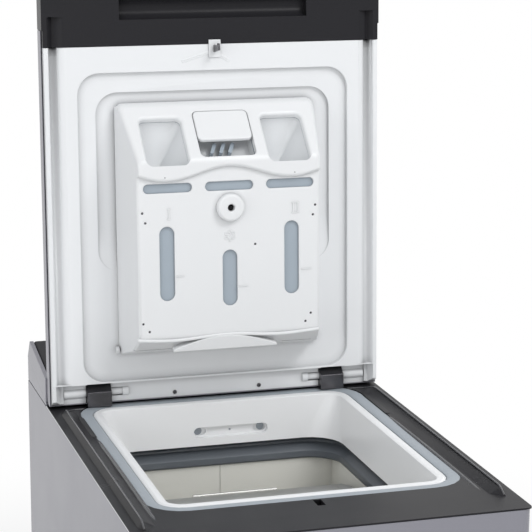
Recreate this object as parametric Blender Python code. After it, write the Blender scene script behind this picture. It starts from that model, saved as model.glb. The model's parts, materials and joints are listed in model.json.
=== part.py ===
"""Narrow top-loading washing machine with its lid open, built as separate pieces.

Units are metres, +Z is up, the front faces -Y and the origin lies on the floor under the
middle of the cabinet. Heights near the top are counted from SIDE_TOP, the upper edge of the
side panels. The lid and all that it carries are modelled lying shut and are turned open by
the empty on the hinge line. "Reach" is the distance forward from the hinge line, "rise" the
height above the lid's white inner face.
"""
import bpy
import bmesh
from math import acos, asin, atan2, cos, pi, radians, sin, sqrt
from mathutils import Matrix, Vector

# Gaps and overruns
TOUCH = 0.0003
RUNNING_GAP = 0.0006
OVERRUN = 0.004
WELD = 0.00001

# Cabinet
CABINET_WIDTH = 0.400
CABINET_DEPTH = 0.600
SIDE_TOP = 0.848
PANEL_BOTTOM = 0.020
SHEET = 0.0012
PANEL_FLANGE = 0.018
FRONT_CORNER_RADIUS = 0.012
FRONT_WRAP = 0.014
SPRING_BRACKET_THICKNESS = 0.003
SPRING_BRACKET_WIDTH = 0.024
SPRING_BRACKET_DROP = 0.040

# Rear panel
REAR_PANEL_MARGIN = 0.004
REAR_COVER_WIDTH = 0.250
REAR_COVER_HEIGHT = 0.360
REAR_COVER_BOTTOM = 0.120
REAR_COVER_DEPTH = 0.0010
REAR_SLOT_COUNT = 7
REAR_SLOT_LENGTH = 0.060
REAR_SLOT_HEIGHT = 0.004
REAR_SLOT_PITCH = 0.010
REAR_SLOT_BOTTOM = 0.560

# Base frame and feet
BASE_FLOOR = 0.008
BASE_WALL = 0.003
BASE_WALL_TOP = 0.072
BASE_RIB_HEIGHT = 0.014
BASE_RIB_COUNT = 3
FOOT_RADIUS = 0.019
FOOT_HEAD = 0.010
FOOT_INSET = 0.045
FOOT_STUD_RADIUS = 0.005
FOOT_STUD_LENGTH = 0.034
FOOT_BOSS_RADIUS = 0.014
FOOT_BOSS_HEIGHT = 0.026

# Top frame, heights from SIDE_TOP
FRAME_LAND = 0.0015
FRAME_DEPTH = 0.014
FRAME_WALL = 0.0025
FRAME_LEDGE_TOP = -0.0063
RIDGE_CENTRE = 0.1855
RIDGE_HEIGHT = 0.0075
RIDGE_INNER_RUN = 0.0145
RIDGE_OUTER_RUN = 0.005
RIDGE_FRONT = 0.262
RIDGE_REAR = 0.146
RIDGE_END_RUN = 0.012
LOCK_SLOT_WIDTH = 0.0084
LOCK_SLOT_LENGTH = 0.017

# Well: opening, funnel, gasket and bellows, heights from SIDE_TOP
WELL_HALF_WIDTH = 0.1543
WELL_FRONT = 0.2023
WELL_REAR = 0.1550
WELL_CORNER = 0.026
GASKET_WIDTH = 0.0146
GASKET_TOP = 0.0014
GASKET_BOTTOM = 0.0060
FUNNEL_BEAD_TOP = 0.0008
FUNNEL_BEAD_WIDTH = 0.0103
FUNNEL_WALL = 0.0025
FUNNEL_BOTTOM = 0.052
THROAT_HALF_WIDTH = 0.139
THROAT_FRONT = 0.1635
THROAT_REAR = 0.1435
THROAT_CORNER = 0.038
RECESS_CENTRE_X = 0.0125
RECESS_WIDTH = 0.090
RECESS_HEIGHT = 0.0125
RECESS_DROP = 0.036
RECESS_DEPTH = 0.004
RECESS_POCKET_WIDTH = 0.018
RECESS_POCKET_DEPTH = 0.0035
RECESS_BACKING = 0.012
BELLOWS_WALL = 0.0025
BELLOWS_COLLAR = 0.006
BELLOWS_FOLD_OUT = 0.009
BELLOWS_LIP_HEIGHT = 0.0105

# Lid, modelled shut, hinge line at mid thickness
HINGE_Y = 0.167
HINGE_RISE = 0.0165
LID_LEAN = 2.485
LID_HALF_THICKNESS = 0.013
LID_HALF_WIDTH = 0.1984
LID_REACH = 0.463
LID_SKIN = 0.001
LID_SKIN_FRONT = 0.418
LID_HEM = 0.017
LID_PANEL_FRONT = 0.399
LID_PANEL_GAP = 0.0009
LID_PANEL_TAIL = 0.0055
HANDLE_NOSE = 0.009
HANDLE_SCOOP_RADIUS = 0.012
HANDLE_SCOOP_HALF_LENGTH = 0.110
FIELD_HALF_WIDTH = 0.1595
FIELD_NEAR = 0.014
FIELD_FAR = 0.3694
FIELD_CORNER = 0.025
FIELD_DEPTH = 0.005
FIELD_SLOPE = 0.004
PLATEAU_HALF_WIDTH = 0.1395
PLATEAU_NEAR = 0.136
PLATEAU_FAR = 0.346
PLATEAU_DEPTH = 0.0045
PANEL_POCKET_MARGIN = 0.004
PANEL_POCKET_FLOOR = 0.0015
PANEL_RIB_COUNT = 3
PANEL_RIB_THICKNESS = 0.0025
GROOVE_CENTRE = 0.186
GROOVE_INNER_RUN = 0.0130
GROOVE_OUTER_RUN = 0.0065
GROOVE_DEPTH = 0.0068
TROUGH_REACH = 0.012
TROUGH_HALF_WIDTH = 0.183
TROUGH_DEPTH = 0.010
BARREL_RADIUS = 0.0063
BARREL_INNER = 0.1566
BARREL_OUTER = 0.182
JOURNAL_INNER = 0.106
JOURNAL_OUTER = 0.113
PIN_RADIUS = 0.0044
PIN_INNER = 0.108
PIN_OUTER = 0.170
BRACKET_INNER = 0.1270
BRACKET_OUTER = 0.1555
BRACKET_FACE = 0.012
BRACKET_NECK = 0.007
BRACKET_WAIST = 0.0106
BRACKET_KNUCKLE = 0.0095
BRACKET_FOOT = 0.0014
BRACKET_FOOT_REAR = 0.0125
BRACKET_POCKET_REACH = 0.0126
BRACKET_POCKET_TOP = 0.0108
HOOK_REACH = 0.3955
HOOK_THICKNESS = 0.003
HOOK_LENGTH = 0.011
HOOK_RISE = 0.020
HOOK_BARB = 0.003
HOOK_PLATE_LENGTH = 0.020
HOOK_PLATE_WIDTH = 0.014
HOOK_PLATE_THICKNESS = 0.0012

# Dispenser on the lid, rises counted from the lid's inner face
DISP_PIVOT_REACH = 0.051
DISP_PIVOT_RISE = 0.003
DISP_BACK = -0.0044
DISP_FACE = 0.058
DISP_BACK_HALF = 0.117
DISP_FACE_HALF = 0.1065
DISP_BOTTOM = 0.046
DISP_UNDER = 0.056
DISP_UNDER_RISE = 0.038
DISP_FACE_NEAR = 0.072
DISP_FACE_FAR = 0.273
DISP_TOP = 0.338
DISP_HEEL = 0.0075
DISP_WALL = 0.0025
DISP_EDGE = 0.006
HOOD_PROUD = 0.004
HOOD_LOW_MEAN = 0.2595
HOOD_WAVE = 0.0075
HOOD_WAVELENGTH = 0.145
HOOD_WAVE_STEPS = 24
CHAMBER_PITCH = 0.0705
CHAMBER_HALF_WIDTH = 0.0232
CHAMBER_LOW_REACH = 0.2705
CHAMBER_HIGH_REACH = 0.314
PAD_HALF_WIDTH = 0.0322
PAD_THICKNESS = 0.003
PAD_LENGTH = 0.038
SLOT_PITCH = 0.0713
SLOT_WIDTH = 0.056
SLOT_HEIGHT = 0.0105
SLOT_REACH = 0.2438
WINDOW_PITCH = 0.073
WINDOW_WIDTH = 0.0175
WINDOW_NEAR = 0.116
WINDOW_FAR = 0.2005
CENTRE_WINDOW_NEAR = 0.1065
CENTRE_WINDOW_FAR = 0.1707
BOSS_REACH = 0.2197
BOSS_RADIUS = 0.016
BOSS_HEIGHT = 0.008
BOSS_BORE = 0.0035
WEDGE_HALF_WIDTH = 0.061
WEDGE_THICKNESS = 0.003
TRUNNION_RADIUS = 0.0035
TRUNNION_LENGTH = 0.0065
EAR_WIDTH = 0.005
EAR_RADIUS = 0.0065
TRAY_GAP = 0.0006
TRAY_WALL = 0.002
TRAY_CHAMBER_HALF = 0.031

# Console, heights from SIDE_TOP
CONSOLE_FRONT = 0.181
CONSOLE_REAR = 0.3000
CONSOLE_BASE_FRONT_HEIGHT = 0.0040
CONSOLE_BASE_REAR_HEIGHT = 0.0285
SLAB_FRONT_TOP = 0.0332
SLAB_REAR_TOP = 0.052
SLAB_REAR_TOP_Y = 0.284
SLAB_WALL = 0.0025
CONSOLE_END = 0.005
CONSOLE_BASE_WALL = 0.0022
KNOB_X = 0.120
KNOB_RADIUS = 0.021
KNOB_HEIGHT = 0.016
KNOB_SKIRT = 0.003
KNOB_SHAFT_RADIUS = 0.003
KNOB_GRIP_COUNT = 12
KNOB_GRIP_RADIUS = 0.0016
BUTTON_LENGTH = 0.026
BUTTON_WIDTH = 0.011
BUTTON_PROUD = 0.0025
BUTTON_TRAVEL = 0.0015
START_BUTTON_X = 0.030
OPTION_BUTTON_X = -0.030
BOARD_HALF_LENGTH = 0.165
BOARD_WIDTH = 0.060
BOARD_THICKNESS = 0.0016
BOARD_DROP = 0.012
BOARD_POST_RADIUS = 0.003
BOARD_CHIP = 0.018
BOARD_CHIP_HEIGHT = 0.004

# Tub and drum, axis along X
AXIS_Y = -0.010
AXIS_DROP = 0.297
TUB_RADIUS = 0.238
TUB_WALL = 0.004
TUB_HALF_LENGTH = 0.139
TUB_SEGMENTS = 40
TUB_SEAM = 0.008
TUB_SEAM_WIDTH = 0.005
NECK_TOP = 0.078
NECK_GAP = 0.003
HUB_RADIUS = 0.040
HUB_LENGTH = 0.022
SHAFT_RADIUS = 0.0125
TUB_LUG_DROP = 0.190
TUB_LUG_THICKNESS = 0.006
TUB_RIB_COUNT = 6
TUB_RIB_THICKNESS = 0.004
TUB_RIB_HEIGHT = 0.008
SUMP_HALF_LENGTH = 0.062
SUMP_FRONT = -0.070
SUMP_REAR = 0.050
SUMP_DEPTH = 0.024
SPIGOT_X = 0.035
SPIGOT_Y = 0.025
SPIGOT_RADIUS = 0.017
SPIGOT_BORE = 0.014
SPIGOT_LENGTH = 0.016
DRUM_RADIUS = 0.224
DRUM_SHEET = 0.0015
DRUM_HALF_LENGTH = 0.122
DRUM_DOOR_HALF_ANGLE = 24.5
DRUM_DOOR_HALF_LENGTH = 0.106
DRUM_DOOR_GAP = 0.0005
DRUM_DOOR_HINGE_RISE = 0.0013
DRUM_DOOR_ROD = 0.0018
DRUM_DOOR_ROD_HALF_LENGTH = 0.050
DRUM_DOOR_STEPS = 6
LIFTER_COUNT = 3
LIFTER_HEIGHT = 0.034
LIFTER_HALF_BASE = 0.022
LIFTER_HALF_TOP = 0.007
LIFTER_HALF_LENGTH = 0.104
LATCH_LENGTH = 0.034
LATCH_WIDTH = 0.016
LATCH_HEIGHT = 0.004
LATCH_ANGLE = 4.6
DRUM_END_FLANGE = 0.014
DRUM_END_DISH = 0.010
PULLEY_RADIUS = 0.140
PULLEY_WIDTH = 0.014
PULLEY_OFFSET = 0.1668
PULLEY_WEB = 0.004
PULLEY_HUB = 0.024
PULLEY_HOLES = 6
PULLEY_HOLE_RADIUS = 0.030
PULLEY_HOLE_CIRCLE = 0.082
BELT_THICKNESS = 0.004
BELT_WIDTH = 0.011

# Motor, its pulley and the damping
MOTOR_Y = 0.140
MOTOR_Z = 0.251
MOTOR_RADIUS = 0.060
MOTOR_LENGTH = 0.150
MOTOR_NOSE = 0.0035
MOTOR_SEGMENTS = 24
MOTOR_SHAFT = 0.007
MOTOR_PULLEY_RADIUS = 0.012
MOTOR_BORE_DEPTH = 0.030
ROTOR_RADIUS = 0.028
ROTOR_LENGTH = 0.072
MOTOR_ARM_HALF_LENGTH = 0.030
MOTOR_ARM_WIDTH = 0.026
WEIGHT_THICKNESS = 0.028
WEIGHT_HALF_LENGTH = 0.105
WEIGHT_HALF_ANGLE = 22.0
WEIGHT_STEPS = 10
SPRING_X = 0.171
SPRING_SPREAD = 0.130
SPRING_RADIUS = 0.0085
SPRING_WIRE = 0.0012
SPRING_TURNS = 5
SPRING_POINTS_PER_TURN = 8
SPRING_END = 0.006
DAMPER_X = 0.060
DAMPER_SPREAD = 0.150
DAMPER_RADIUS = 0.013
DAMPER_BORE = 0.0085
DAMPER_HEIGHT = 0.125
DAMPER_ROD_RADIUS = 0.0065
DAMPER_OVERLAP = 0.060
DAMPER_PAD = 0.004
HEATER_TUBE = 0.004
HEATER_X = 0.030
HEATER_SPREAD = 0.011
HEATER_FLANGE_LENGTH = 0.044
HEATER_FLANGE_HEIGHT = 0.018
HEATER_FLANGE_THICKNESS = 0.005

# Pump, filter and flap
PUMP_X = 0.100
PUMP_Z = 0.108
PUMP_RADIUS = 0.038
PUMP_FRONT = -0.236
PUMP_REAR = -0.150
PUMP_MOTOR_RADIUS = 0.026
PUMP_MOTOR_REAR = -0.096
FILTER_RADIUS = 0.026
FILTER_HOUSING_RADIUS = 0.030
FILTER_FRONT = -0.282
FILTER_LENGTH = 0.048
FILTER_KNOB = 0.0035
FILTER_GRIP_THICKNESS = 0.006
FILTER_GRIP_DEPTH = 0.008
PUMP_FOOT_HALF_WIDTH = 0.030
PUMP_INLET_RADIUS = 0.016
PUMP_INLET_LENGTH = 0.014
HOSE_RADIUS = 0.0165
HOSE_STEPS = 18
FLAP_WIDTH = 0.120
FLAP_HEIGHT = 0.120
FLAP_BOTTOM = 0.045
FLAP_THICKNESS = 0.0025
FLAP_GAP = 0.0006
FLAP_GRIP_WIDTH = 0.040
FLAP_GRIP_HEIGHT = 0.010
FLAP_GRIP_DEPTH = 0.0012

# Door lock and inlet valve
LOCK_HALF_WIDTH = 0.032
LOCK_LENGTH = 0.046
LOCK_HEIGHT = 0.030
VALVE_X = -0.140
VALVE_Z = 0.700
VALVE_RADIUS = 0.0125
VALVE_PROUD = -0.001
VALVE_BODY = 0.036
VALVE_BODY_DEPTH = 0.040
VALVE_COIL_RADIUS = 0.014
VALVE_COIL_HEIGHT = 0.034

HALF_WIDTH = CABINET_WIDTH / 2
HALF_DEPTH = CABINET_DEPTH / 2
AXIS_Z = SIDE_TOP - AXIS_DROP
HINGE_Z = SIDE_TOP + HINGE_RISE
SIDES = (("left", -1), ("right", 1))


# Helpers that make, cut and place solids


def clear_scene():
    for item in list(bpy.data.objects):
        bpy.data.objects.remove(item, do_unlink=True)


def finish_material(name, colour, roughness, metallic=0.0, alpha=1.0):
    """Return the named material, made once with a Principled shader."""
    found = bpy.data.materials.get(name)
    if found:
        return found
    made = bpy.data.materials.new(name)
    made.use_nodes = True
    shader = made.node_tree.nodes["Principled BSDF"]
    shader.inputs["Base Color"].default_value = (*colour, 1.0)
    shader.inputs["Roughness"].default_value = roughness
    shader.inputs["Metallic"].default_value = metallic
    shader.inputs["Alpha"].default_value = alpha
    return made


def silver_paint():
    return finish_material("silver_paint", (0.42, 0.42, 0.44), 0.38, 0.55)


def white_plastic():
    return finish_material("white_plastic", (0.83, 0.84, 0.85), 0.35)


def dark_plastic():
    return finish_material("dark_plastic", (0.055, 0.055, 0.06), 0.28)


def tray_plastic():
    return finish_material("tray_plastic", (0.52, 0.58, 0.62), 0.3, 0.0, 0.6)


def grey_rubber():
    return finish_material("grey_rubber", (0.14, 0.15, 0.17), 0.6)


def gasket_rubber():
    return finish_material("gasket_rubber", (0.33, 0.36, 0.40), 0.5)


def dark_steel():
    return finish_material("dark_steel", (0.07, 0.07, 0.075), 0.35, 0.8)


def bright_steel():
    return finish_material("bright_steel", (0.62, 0.62, 0.60), 0.3, 1.0)


def zinc_steel():
    return finish_material("zinc_steel", (0.45, 0.46, 0.47), 0.45, 0.8)


def tub_plastic():
    return finish_material("tub_plastic", (0.66, 0.66, 0.60), 0.5)


def black_plastic():
    return finish_material("black_plastic", (0.02, 0.02, 0.02), 0.5)


def cast_iron():
    return finish_material("cast_iron", (0.10, 0.10, 0.10), 0.8, 0.6)


def board_green():
    return finish_material("board_green", (0.03, 0.16, 0.06), 0.5)


def solid_from(bm):
    """Turn a bmesh into a linked object with outward faces."""
    bmesh.ops.recalc_face_normals(bm, faces=bm.faces)
    mesh = bpy.data.meshes.new("solid")
    bm.to_mesh(mesh)
    bm.free()
    obj = bpy.data.objects.new("solid", mesh)
    bpy.context.scene.collection.objects.link(obj)
    return obj


def prism(outline, axis, low, high):
    """Extrude a 2D outline along an axis; the outline's plane is the other two axes."""
    def corner(point, along):
        a, b = point
        if axis == "X":
            return Vector((along, a, b))
        if axis == "Y":
            return Vector((a, along, b))
        return Vector((a, b, along))
    bm = bmesh.new()
    near = [bm.verts.new(corner(point, low)) for point in outline]
    far = [bm.verts.new(corner(point, high)) for point in outline]
    bm.faces.new(near)
    bm.faces.new(far)
    count = len(outline)
    for i in range(count):
        j = (i + 1) % count
        bm.faces.new((near[i], near[j], far[j], far[i]))
    return solid_from(bm)


def block(low, high):
    return prism([(low[0], low[1]), (high[0], low[1]), (high[0], high[1]), (low[0], high[1])],
                 "Z", low[2], high[2])


def lathe(profile, axis, centre, segments):
    """Turn a closed profile of (along, radius) points round a line along the axis."""
    def place(along, radius, angle):
        a, b = radius * sin(angle), radius * cos(angle)
        if axis == "X":
            return Vector((along, centre[0] + a, centre[1] + b))
        if axis == "Y":
            return Vector((centre[0] + a, along, centre[1] + b))
        return Vector((centre[0] + a, centre[1] + b, along))
    bm = bmesh.new()
    rings = []
    for along, radius in profile:
        if radius == 0:
            rings.append([bm.verts.new(place(along, 0, 0))] * segments)
        else:
            rings.append([bm.verts.new(place(along, radius, 2 * pi * i / segments))
                          for i in range(segments)])
    for k, ring in enumerate(rings):
        following = rings[(k + 1) % len(rings)]
        for i in range(segments):
            j = (i + 1) % segments
            corners = []
            for vert in (ring[i], ring[j], following[j], following[i]):
                if vert not in corners:
                    corners.append(vert)
            if len(corners) > 2:
                bm.faces.new(corners)
    return solid_from(bm)


def cylinder(axis, centre, low, high, radius, segments=18):
    return lathe([(low, 0), (low, radius), (high, radius), (high, 0)], axis, centre, segments)


def ring_solid(loops):
    """Join closed loops of equal length into a ring-shaped solid."""
    bm = bmesh.new()
    rows = [[bm.verts.new(point) for point in loop] for loop in loops]
    count = len(rows[0])
    for k, row in enumerate(rows):
        following = rows[(k + 1) % len(rows)]
        for i in range(count):
            j = (i + 1) % count
            bm.faces.new((row[i], row[j], following[j], following[i]))
    return solid_from(bm)


def loft(loops):
    """Join loops of equal length into a solid with flat caps on its first and last loop."""
    bm = bmesh.new()
    rows = [[bm.verts.new(point) for point in loop] for loop in loops]
    count = len(rows[0])
    bm.faces.new(rows[0])
    bm.faces.new(rows[-1])
    for row, following in zip(rows, rows[1:]):
        for i in range(count):
            j = (i + 1) % count
            bm.faces.new((row[i], row[j], following[j], following[i]))
    return solid_from(bm)


def rounded_outline(x_low, x_high, y_low, y_high, radius, steps=5):
    """Corner points of a rectangle with round corners, counter-clockwise."""
    centres = ((x_high - radius, y_low + radius, -pi / 2), (x_high - radius, y_high - radius, 0),
               (x_low + radius, y_high - radius, pi / 2), (x_low + radius, y_low + radius, pi))
    points = []
    for cx, cy, start in centres:
        for i in range(steps + 1):
            angle = start + (pi / 2) * i / steps
            points.append((cx + radius * cos(angle), cy + radius * sin(angle)))
    return points


def arc(centre, radius, start, end, steps):
    """Points on an arc; the angles are in degrees from the first axis."""
    points = []
    for i in range(steps + 1):
        angle = radians(start + (end - start) * i / steps)
        points.append((centre[0] + radius * cos(angle), centre[1] + radius * sin(angle)))
    return points


def bake(obj):
    """Replace the mesh by what the modifiers make of it, with stray doubles welded."""
    depsgraph = bpy.context.evaluated_depsgraph_get()
    mesh = bpy.data.meshes.new_from_object(obj.evaluated_get(depsgraph))
    bm = bmesh.new()
    bm.from_mesh(mesh)
    bmesh.ops.remove_doubles(bm, verts=bm.verts, dist=WELD)
    bm.to_mesh(mesh)
    bm.free()
    obj.modifiers.clear()
    obj.data = mesh


def combine(target, tools, operation):
    """Apply a Boolean with each tool in turn and remove the tools."""
    for tool in tools:
        modifier = target.modifiers.new("join", "BOOLEAN")
        modifier.operation = operation
        modifier.solver = "EXACT"
        modifier.object = tool
        bake(target)
        bpy.data.objects.remove(tool, do_unlink=True)
    return target


def cut(target, *tools):
    return combine(target, tools, "DIFFERENCE")


def fuse(target, *tools):
    return combine(target, tools, "UNION")


def soften(obj, width, segments=2, angle=30):
    """Round the sharp edges with a bevel."""
    modifier = obj.modifiers.new("round", "BEVEL")
    modifier.width = width
    modifier.segments = segments
    modifier.limit_method = "ANGLE"
    modifier.angle_limit = radians(angle)
    bake(obj)
    return obj


def turned(obj, matrix):
    obj.data.transform(matrix)
    return obj


def piece(obj, name, material, parent=None, origin=(0, 0, 0)):
    """Name a solid, give it its finish and hang it on its parent at the parent's origin."""
    obj.name = name
    obj.data.name = name
    obj.data.materials.clear()
    obj.data.materials.append(material)
    obj.data.transform(Matrix.Translation(-Vector(origin)))
    if parent:
        obj.parent = parent
    else:
        obj.location = origin
    obj.data.shade_smooth()
    obj.data.set_sharp_from_angle(angle=radians(32))
    return obj


def pivot(name, location, parent=None, turn=0.0):
    """An empty on a joint's axis, turned about X in degrees."""
    empty = bpy.data.objects.new(name, None)
    bpy.context.scene.collection.objects.link(empty)
    empty.location = location
    empty.rotation_euler = (radians(turn), 0, 0)
    empty.parent = parent
    return empty


# Cabinet


def spring_places():
    for label_y, end in (("front", -1), ("rear", 1)):
        for label_x, side in SIDES:
            yield f"{label_y}_{label_x}", side * SPRING_X, AXIS_Y + end * SPRING_SPREAD, side


def side_panel(label, side):
    """Folded sheet with flanges at its front, rear and top, and two spring brackets."""
    front = -HALF_DEPTH + FRONT_WRAP + TOUCH
    rear = HALF_DEPTH - TOUCH
    top = SIDE_TOP - TOUCH
    outer = sorted((side * HALF_WIDTH, side * (HALF_WIDTH - PANEL_FLANGE)))
    inner = sorted((side * (HALF_WIDTH - SHEET), side * (HALF_WIDTH - PANEL_FLANGE - OVERRUN)))
    panel = block((outer[0], front, PANEL_BOTTOM), (outer[1], rear, top))
    cut(panel, block((inner[0], front + SHEET, PANEL_BOTTOM - OVERRUN),
                     (inner[1], rear - SHEET, top - SHEET)))
    for _, x, y, place_side in spring_places():
        if place_side == side:
            reach = sorted((side * (HALF_WIDTH - SHEET / 2), side * (SPRING_X - SPRING_BRACKET_WIDTH / 2)))
            low = SIDE_TOP - SPRING_BRACKET_DROP
            fuse(panel, block((reach[0], y - SPRING_BRACKET_WIDTH / 2, low),
                              (reach[1], y + SPRING_BRACKET_WIDTH / 2, low + SPRING_BRACKET_THICKNESS)))
    piece(panel, f"side_panel_{label}", silver_paint())


def front_plan(inset):
    """Plan outline of the front panel's outer or inner face."""
    half = HALF_WIDTH - TOUCH - inset
    front = -HALF_DEPTH + inset
    radius = FRONT_CORNER_RADIUS - inset
    right = arc((half - radius, front + radius), radius, 0, -90, 5)
    left = arc((-half + radius, front + radius), radius, -90, -180, 5)
    return right + left


def front_panel():
    """Front sheet with round upright edges and the opening for the filter flap."""
    rear = -HALF_DEPTH + FRONT_WRAP
    outer, inner = front_plan(0), front_plan(SHEET)
    outline = [(outer[0][0], rear)] + outer + [(outer[-1][0], rear)]
    outline += [(inner[-1][0], rear)] + list(reversed(inner)) + [(inner[0][0], rear)]
    panel = prism(outline, "Z", PANEL_BOTTOM, SIDE_TOP - TOUCH)
    left = PUMP_X - FLAP_WIDTH / 2
    cut(panel, block((left, -HALF_DEPTH - OVERRUN, FLAP_BOTTOM),
                     (left + FLAP_WIDTH, -HALF_DEPTH + OVERRUN, FLAP_BOTTOM + FLAP_HEIGHT)))
    piece(panel, "front_panel", silver_paint())


def rear_panel():
    """Rear sheet with a pressed service field, air slots and the inlet hole."""
    half = HALF_WIDTH - REAR_PANEL_MARGIN
    outside = HALF_DEPTH - TOUCH - SHEET - TOUCH
    inside = outside - SHEET
    panel = block((-half, inside, PANEL_BOTTOM + BASE_FLOOR + TOUCH),
                  (half, outside, SIDE_TOP - 2 * TOUCH - SHEET))
    field = prism(rounded_outline(-REAR_COVER_WIDTH / 2, REAR_COVER_WIDTH / 2, REAR_COVER_BOTTOM,
                                  REAR_COVER_BOTTOM + REAR_COVER_HEIGHT, FRONT_CORNER_RADIUS),
                  "Y", inside + SHEET / 2, outside + REAR_COVER_DEPTH)
    fuse(panel, field)
    for side in (-1, 1):
        for i in range(REAR_SLOT_COUNT):
            x = side * REAR_COVER_WIDTH / 4
            z = REAR_SLOT_BOTTOM + i * REAR_SLOT_PITCH
            cut(panel, block((x - REAR_SLOT_LENGTH / 2, inside - OVERRUN, z),
                             (x + REAR_SLOT_LENGTH / 2, outside + OVERRUN, z + REAR_SLOT_HEIGHT)))
    cut(panel, cylinder("Y", (VALVE_X, VALVE_Z), inside - OVERRUN, outside + OVERRUN,
                        VALVE_RADIUS + RUNNING_GAP))
    piece(panel, "rear_panel", zinc_steel())


def foot_places():
    for label, side in SIDES:
        yield label, side * (HALF_WIDTH - FOOT_INSET)


def base_frame():
    """Moulded tray with ribs, sockets for the front feet and two fixed rear feet."""
    half = HALF_WIDTH - SHEET - TOUCH
    front = -HALF_DEPTH + FRONT_WRAP + TOUCH + SHEET + TOUCH
    rear = HALF_DEPTH - TOUCH - 2 * SHEET - 2 * TOUCH
    floor = PANEL_BOTTOM
    tray = block((-half, front, floor), (half, rear, BASE_WALL_TOP))
    cut(tray, block((-half + BASE_WALL, front + BASE_WALL, floor + BASE_FLOOR),
                    (half - BASE_WALL, rear - BASE_WALL, BASE_WALL_TOP + OVERRUN)))
    notch = PUMP_X - FLAP_WIDTH / 2
    cut(tray, block((notch, front - OVERRUN, floor + BASE_FLOOR + BASE_WALL),
                    (notch + FLAP_WIDTH, front + BASE_WALL + OVERRUN, BASE_WALL_TOP + OVERRUN)))
    for i in range(BASE_RIB_COUNT):
        y = HALF_DEPTH * (2 * i + 1 - BASE_RIB_COUNT) / (BASE_RIB_COUNT + 1)
        fuse(tray, block((-half + BASE_WALL / 2, y - BASE_WALL / 2, floor + BASE_FLOOR / 2),
                         (-DAMPER_X - DAMPER_RADIUS * 2, y + BASE_WALL / 2,
                          floor + BASE_FLOOR + BASE_RIB_HEIGHT)))
    for _, x in foot_places():
        rear_y = HALF_DEPTH - FOOT_INSET
        front_y = -HALF_DEPTH + FOOT_INSET
        fuse(tray, cylinder("Z", (x, rear_y), 0, floor + BASE_FLOOR / 2, FOOT_RADIUS))
        fuse(tray, cylinder("Z", (x, front_y), floor + BASE_FLOOR / 2, floor + FOOT_BOSS_HEIGHT,
                            FOOT_BOSS_RADIUS))
        cut(tray, cylinder("Z", (x, front_y), floor - OVERRUN, floor + FOOT_BOSS_HEIGHT + OVERRUN,
                           FOOT_STUD_RADIUS + RUNNING_GAP, 16))
    piece(tray, "base_frame", black_plastic())


def front_feet():
    """Adjustable feet: a round head and a stud that screws into the base frame."""
    for label, x in foot_places():
        y = -HALF_DEPTH + FOOT_INSET
        head_top = PANEL_BOTTOM - TOUCH
        foot = lathe([(0, 0), (0, FOOT_RADIUS), (FOOT_HEAD, FOOT_RADIUS),
                      (head_top, FOOT_STUD_RADIUS * 2), (head_top, FOOT_STUD_RADIUS),
                      (FOOT_STUD_LENGTH, FOOT_STUD_RADIUS), (FOOT_STUD_LENGTH, 0)], "Z", (x, y), 16)
        empty = pivot(f"foot_slide_{label}", (x, y, 0))
        piece(foot, f"front_foot_{label}", black_plastic(), empty, (x, y, 0))


# Top frame, gasket, funnel and bellows


def well_loop(offset, height, corner=WELL_CORNER):
    """A loop round the well opening, moved outward by an offset, at a height from SIDE_TOP."""
    outline = rounded_outline(-WELL_HALF_WIDTH - offset, WELL_HALF_WIDTH + offset,
                              -WELL_FRONT - offset, WELL_REAR + offset, corner + offset)
    return [Vector((x, y, SIDE_TOP + height)) for x, y in outline]


def throat_loop(offset, height):
    """A loop round the throat below the funnel, moved outward by an offset."""
    outline = rounded_outline(-THROAT_HALF_WIDTH - offset, THROAT_HALF_WIDTH + offset,
                              -THROAT_FRONT - offset, THROAT_REAR + offset, THROAT_CORNER + offset)
    return [Vector((x, y, SIDE_TOP + height)) for x, y in outline]


def ridge(side):
    """Long raised ridge beside the well, with a gentle inner slope and sloped ends."""
    height = RIDGE_HEIGHT
    sink = FRAME_LAND / 2
    low = FRAME_LAND - sink
    stations = ((-RIDGE_FRONT, 0), (-RIDGE_FRONT + RIDGE_END_RUN, 1),
                (RIDGE_REAR - RIDGE_END_RUN, 1), (RIDGE_REAR, 0))
    loops = []
    for y, full in stations:
        top = low + TOUCH + (height - low - TOUCH) * full
        crown = RIDGE_OUTER_RUN / 4
        section = [(RIDGE_CENTRE - RIDGE_INNER_RUN, low), (RIDGE_CENTRE + RIDGE_OUTER_RUN, low),
                   (RIDGE_CENTRE + crown, top - crown * full), (RIDGE_CENTRE, top),
                   (RIDGE_CENTRE - crown, top - crown * full / 2)]
        loops.append([Vector((side * x, y, SIDE_TOP + z)) for x, z in section])
    return loft(loops)


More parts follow.
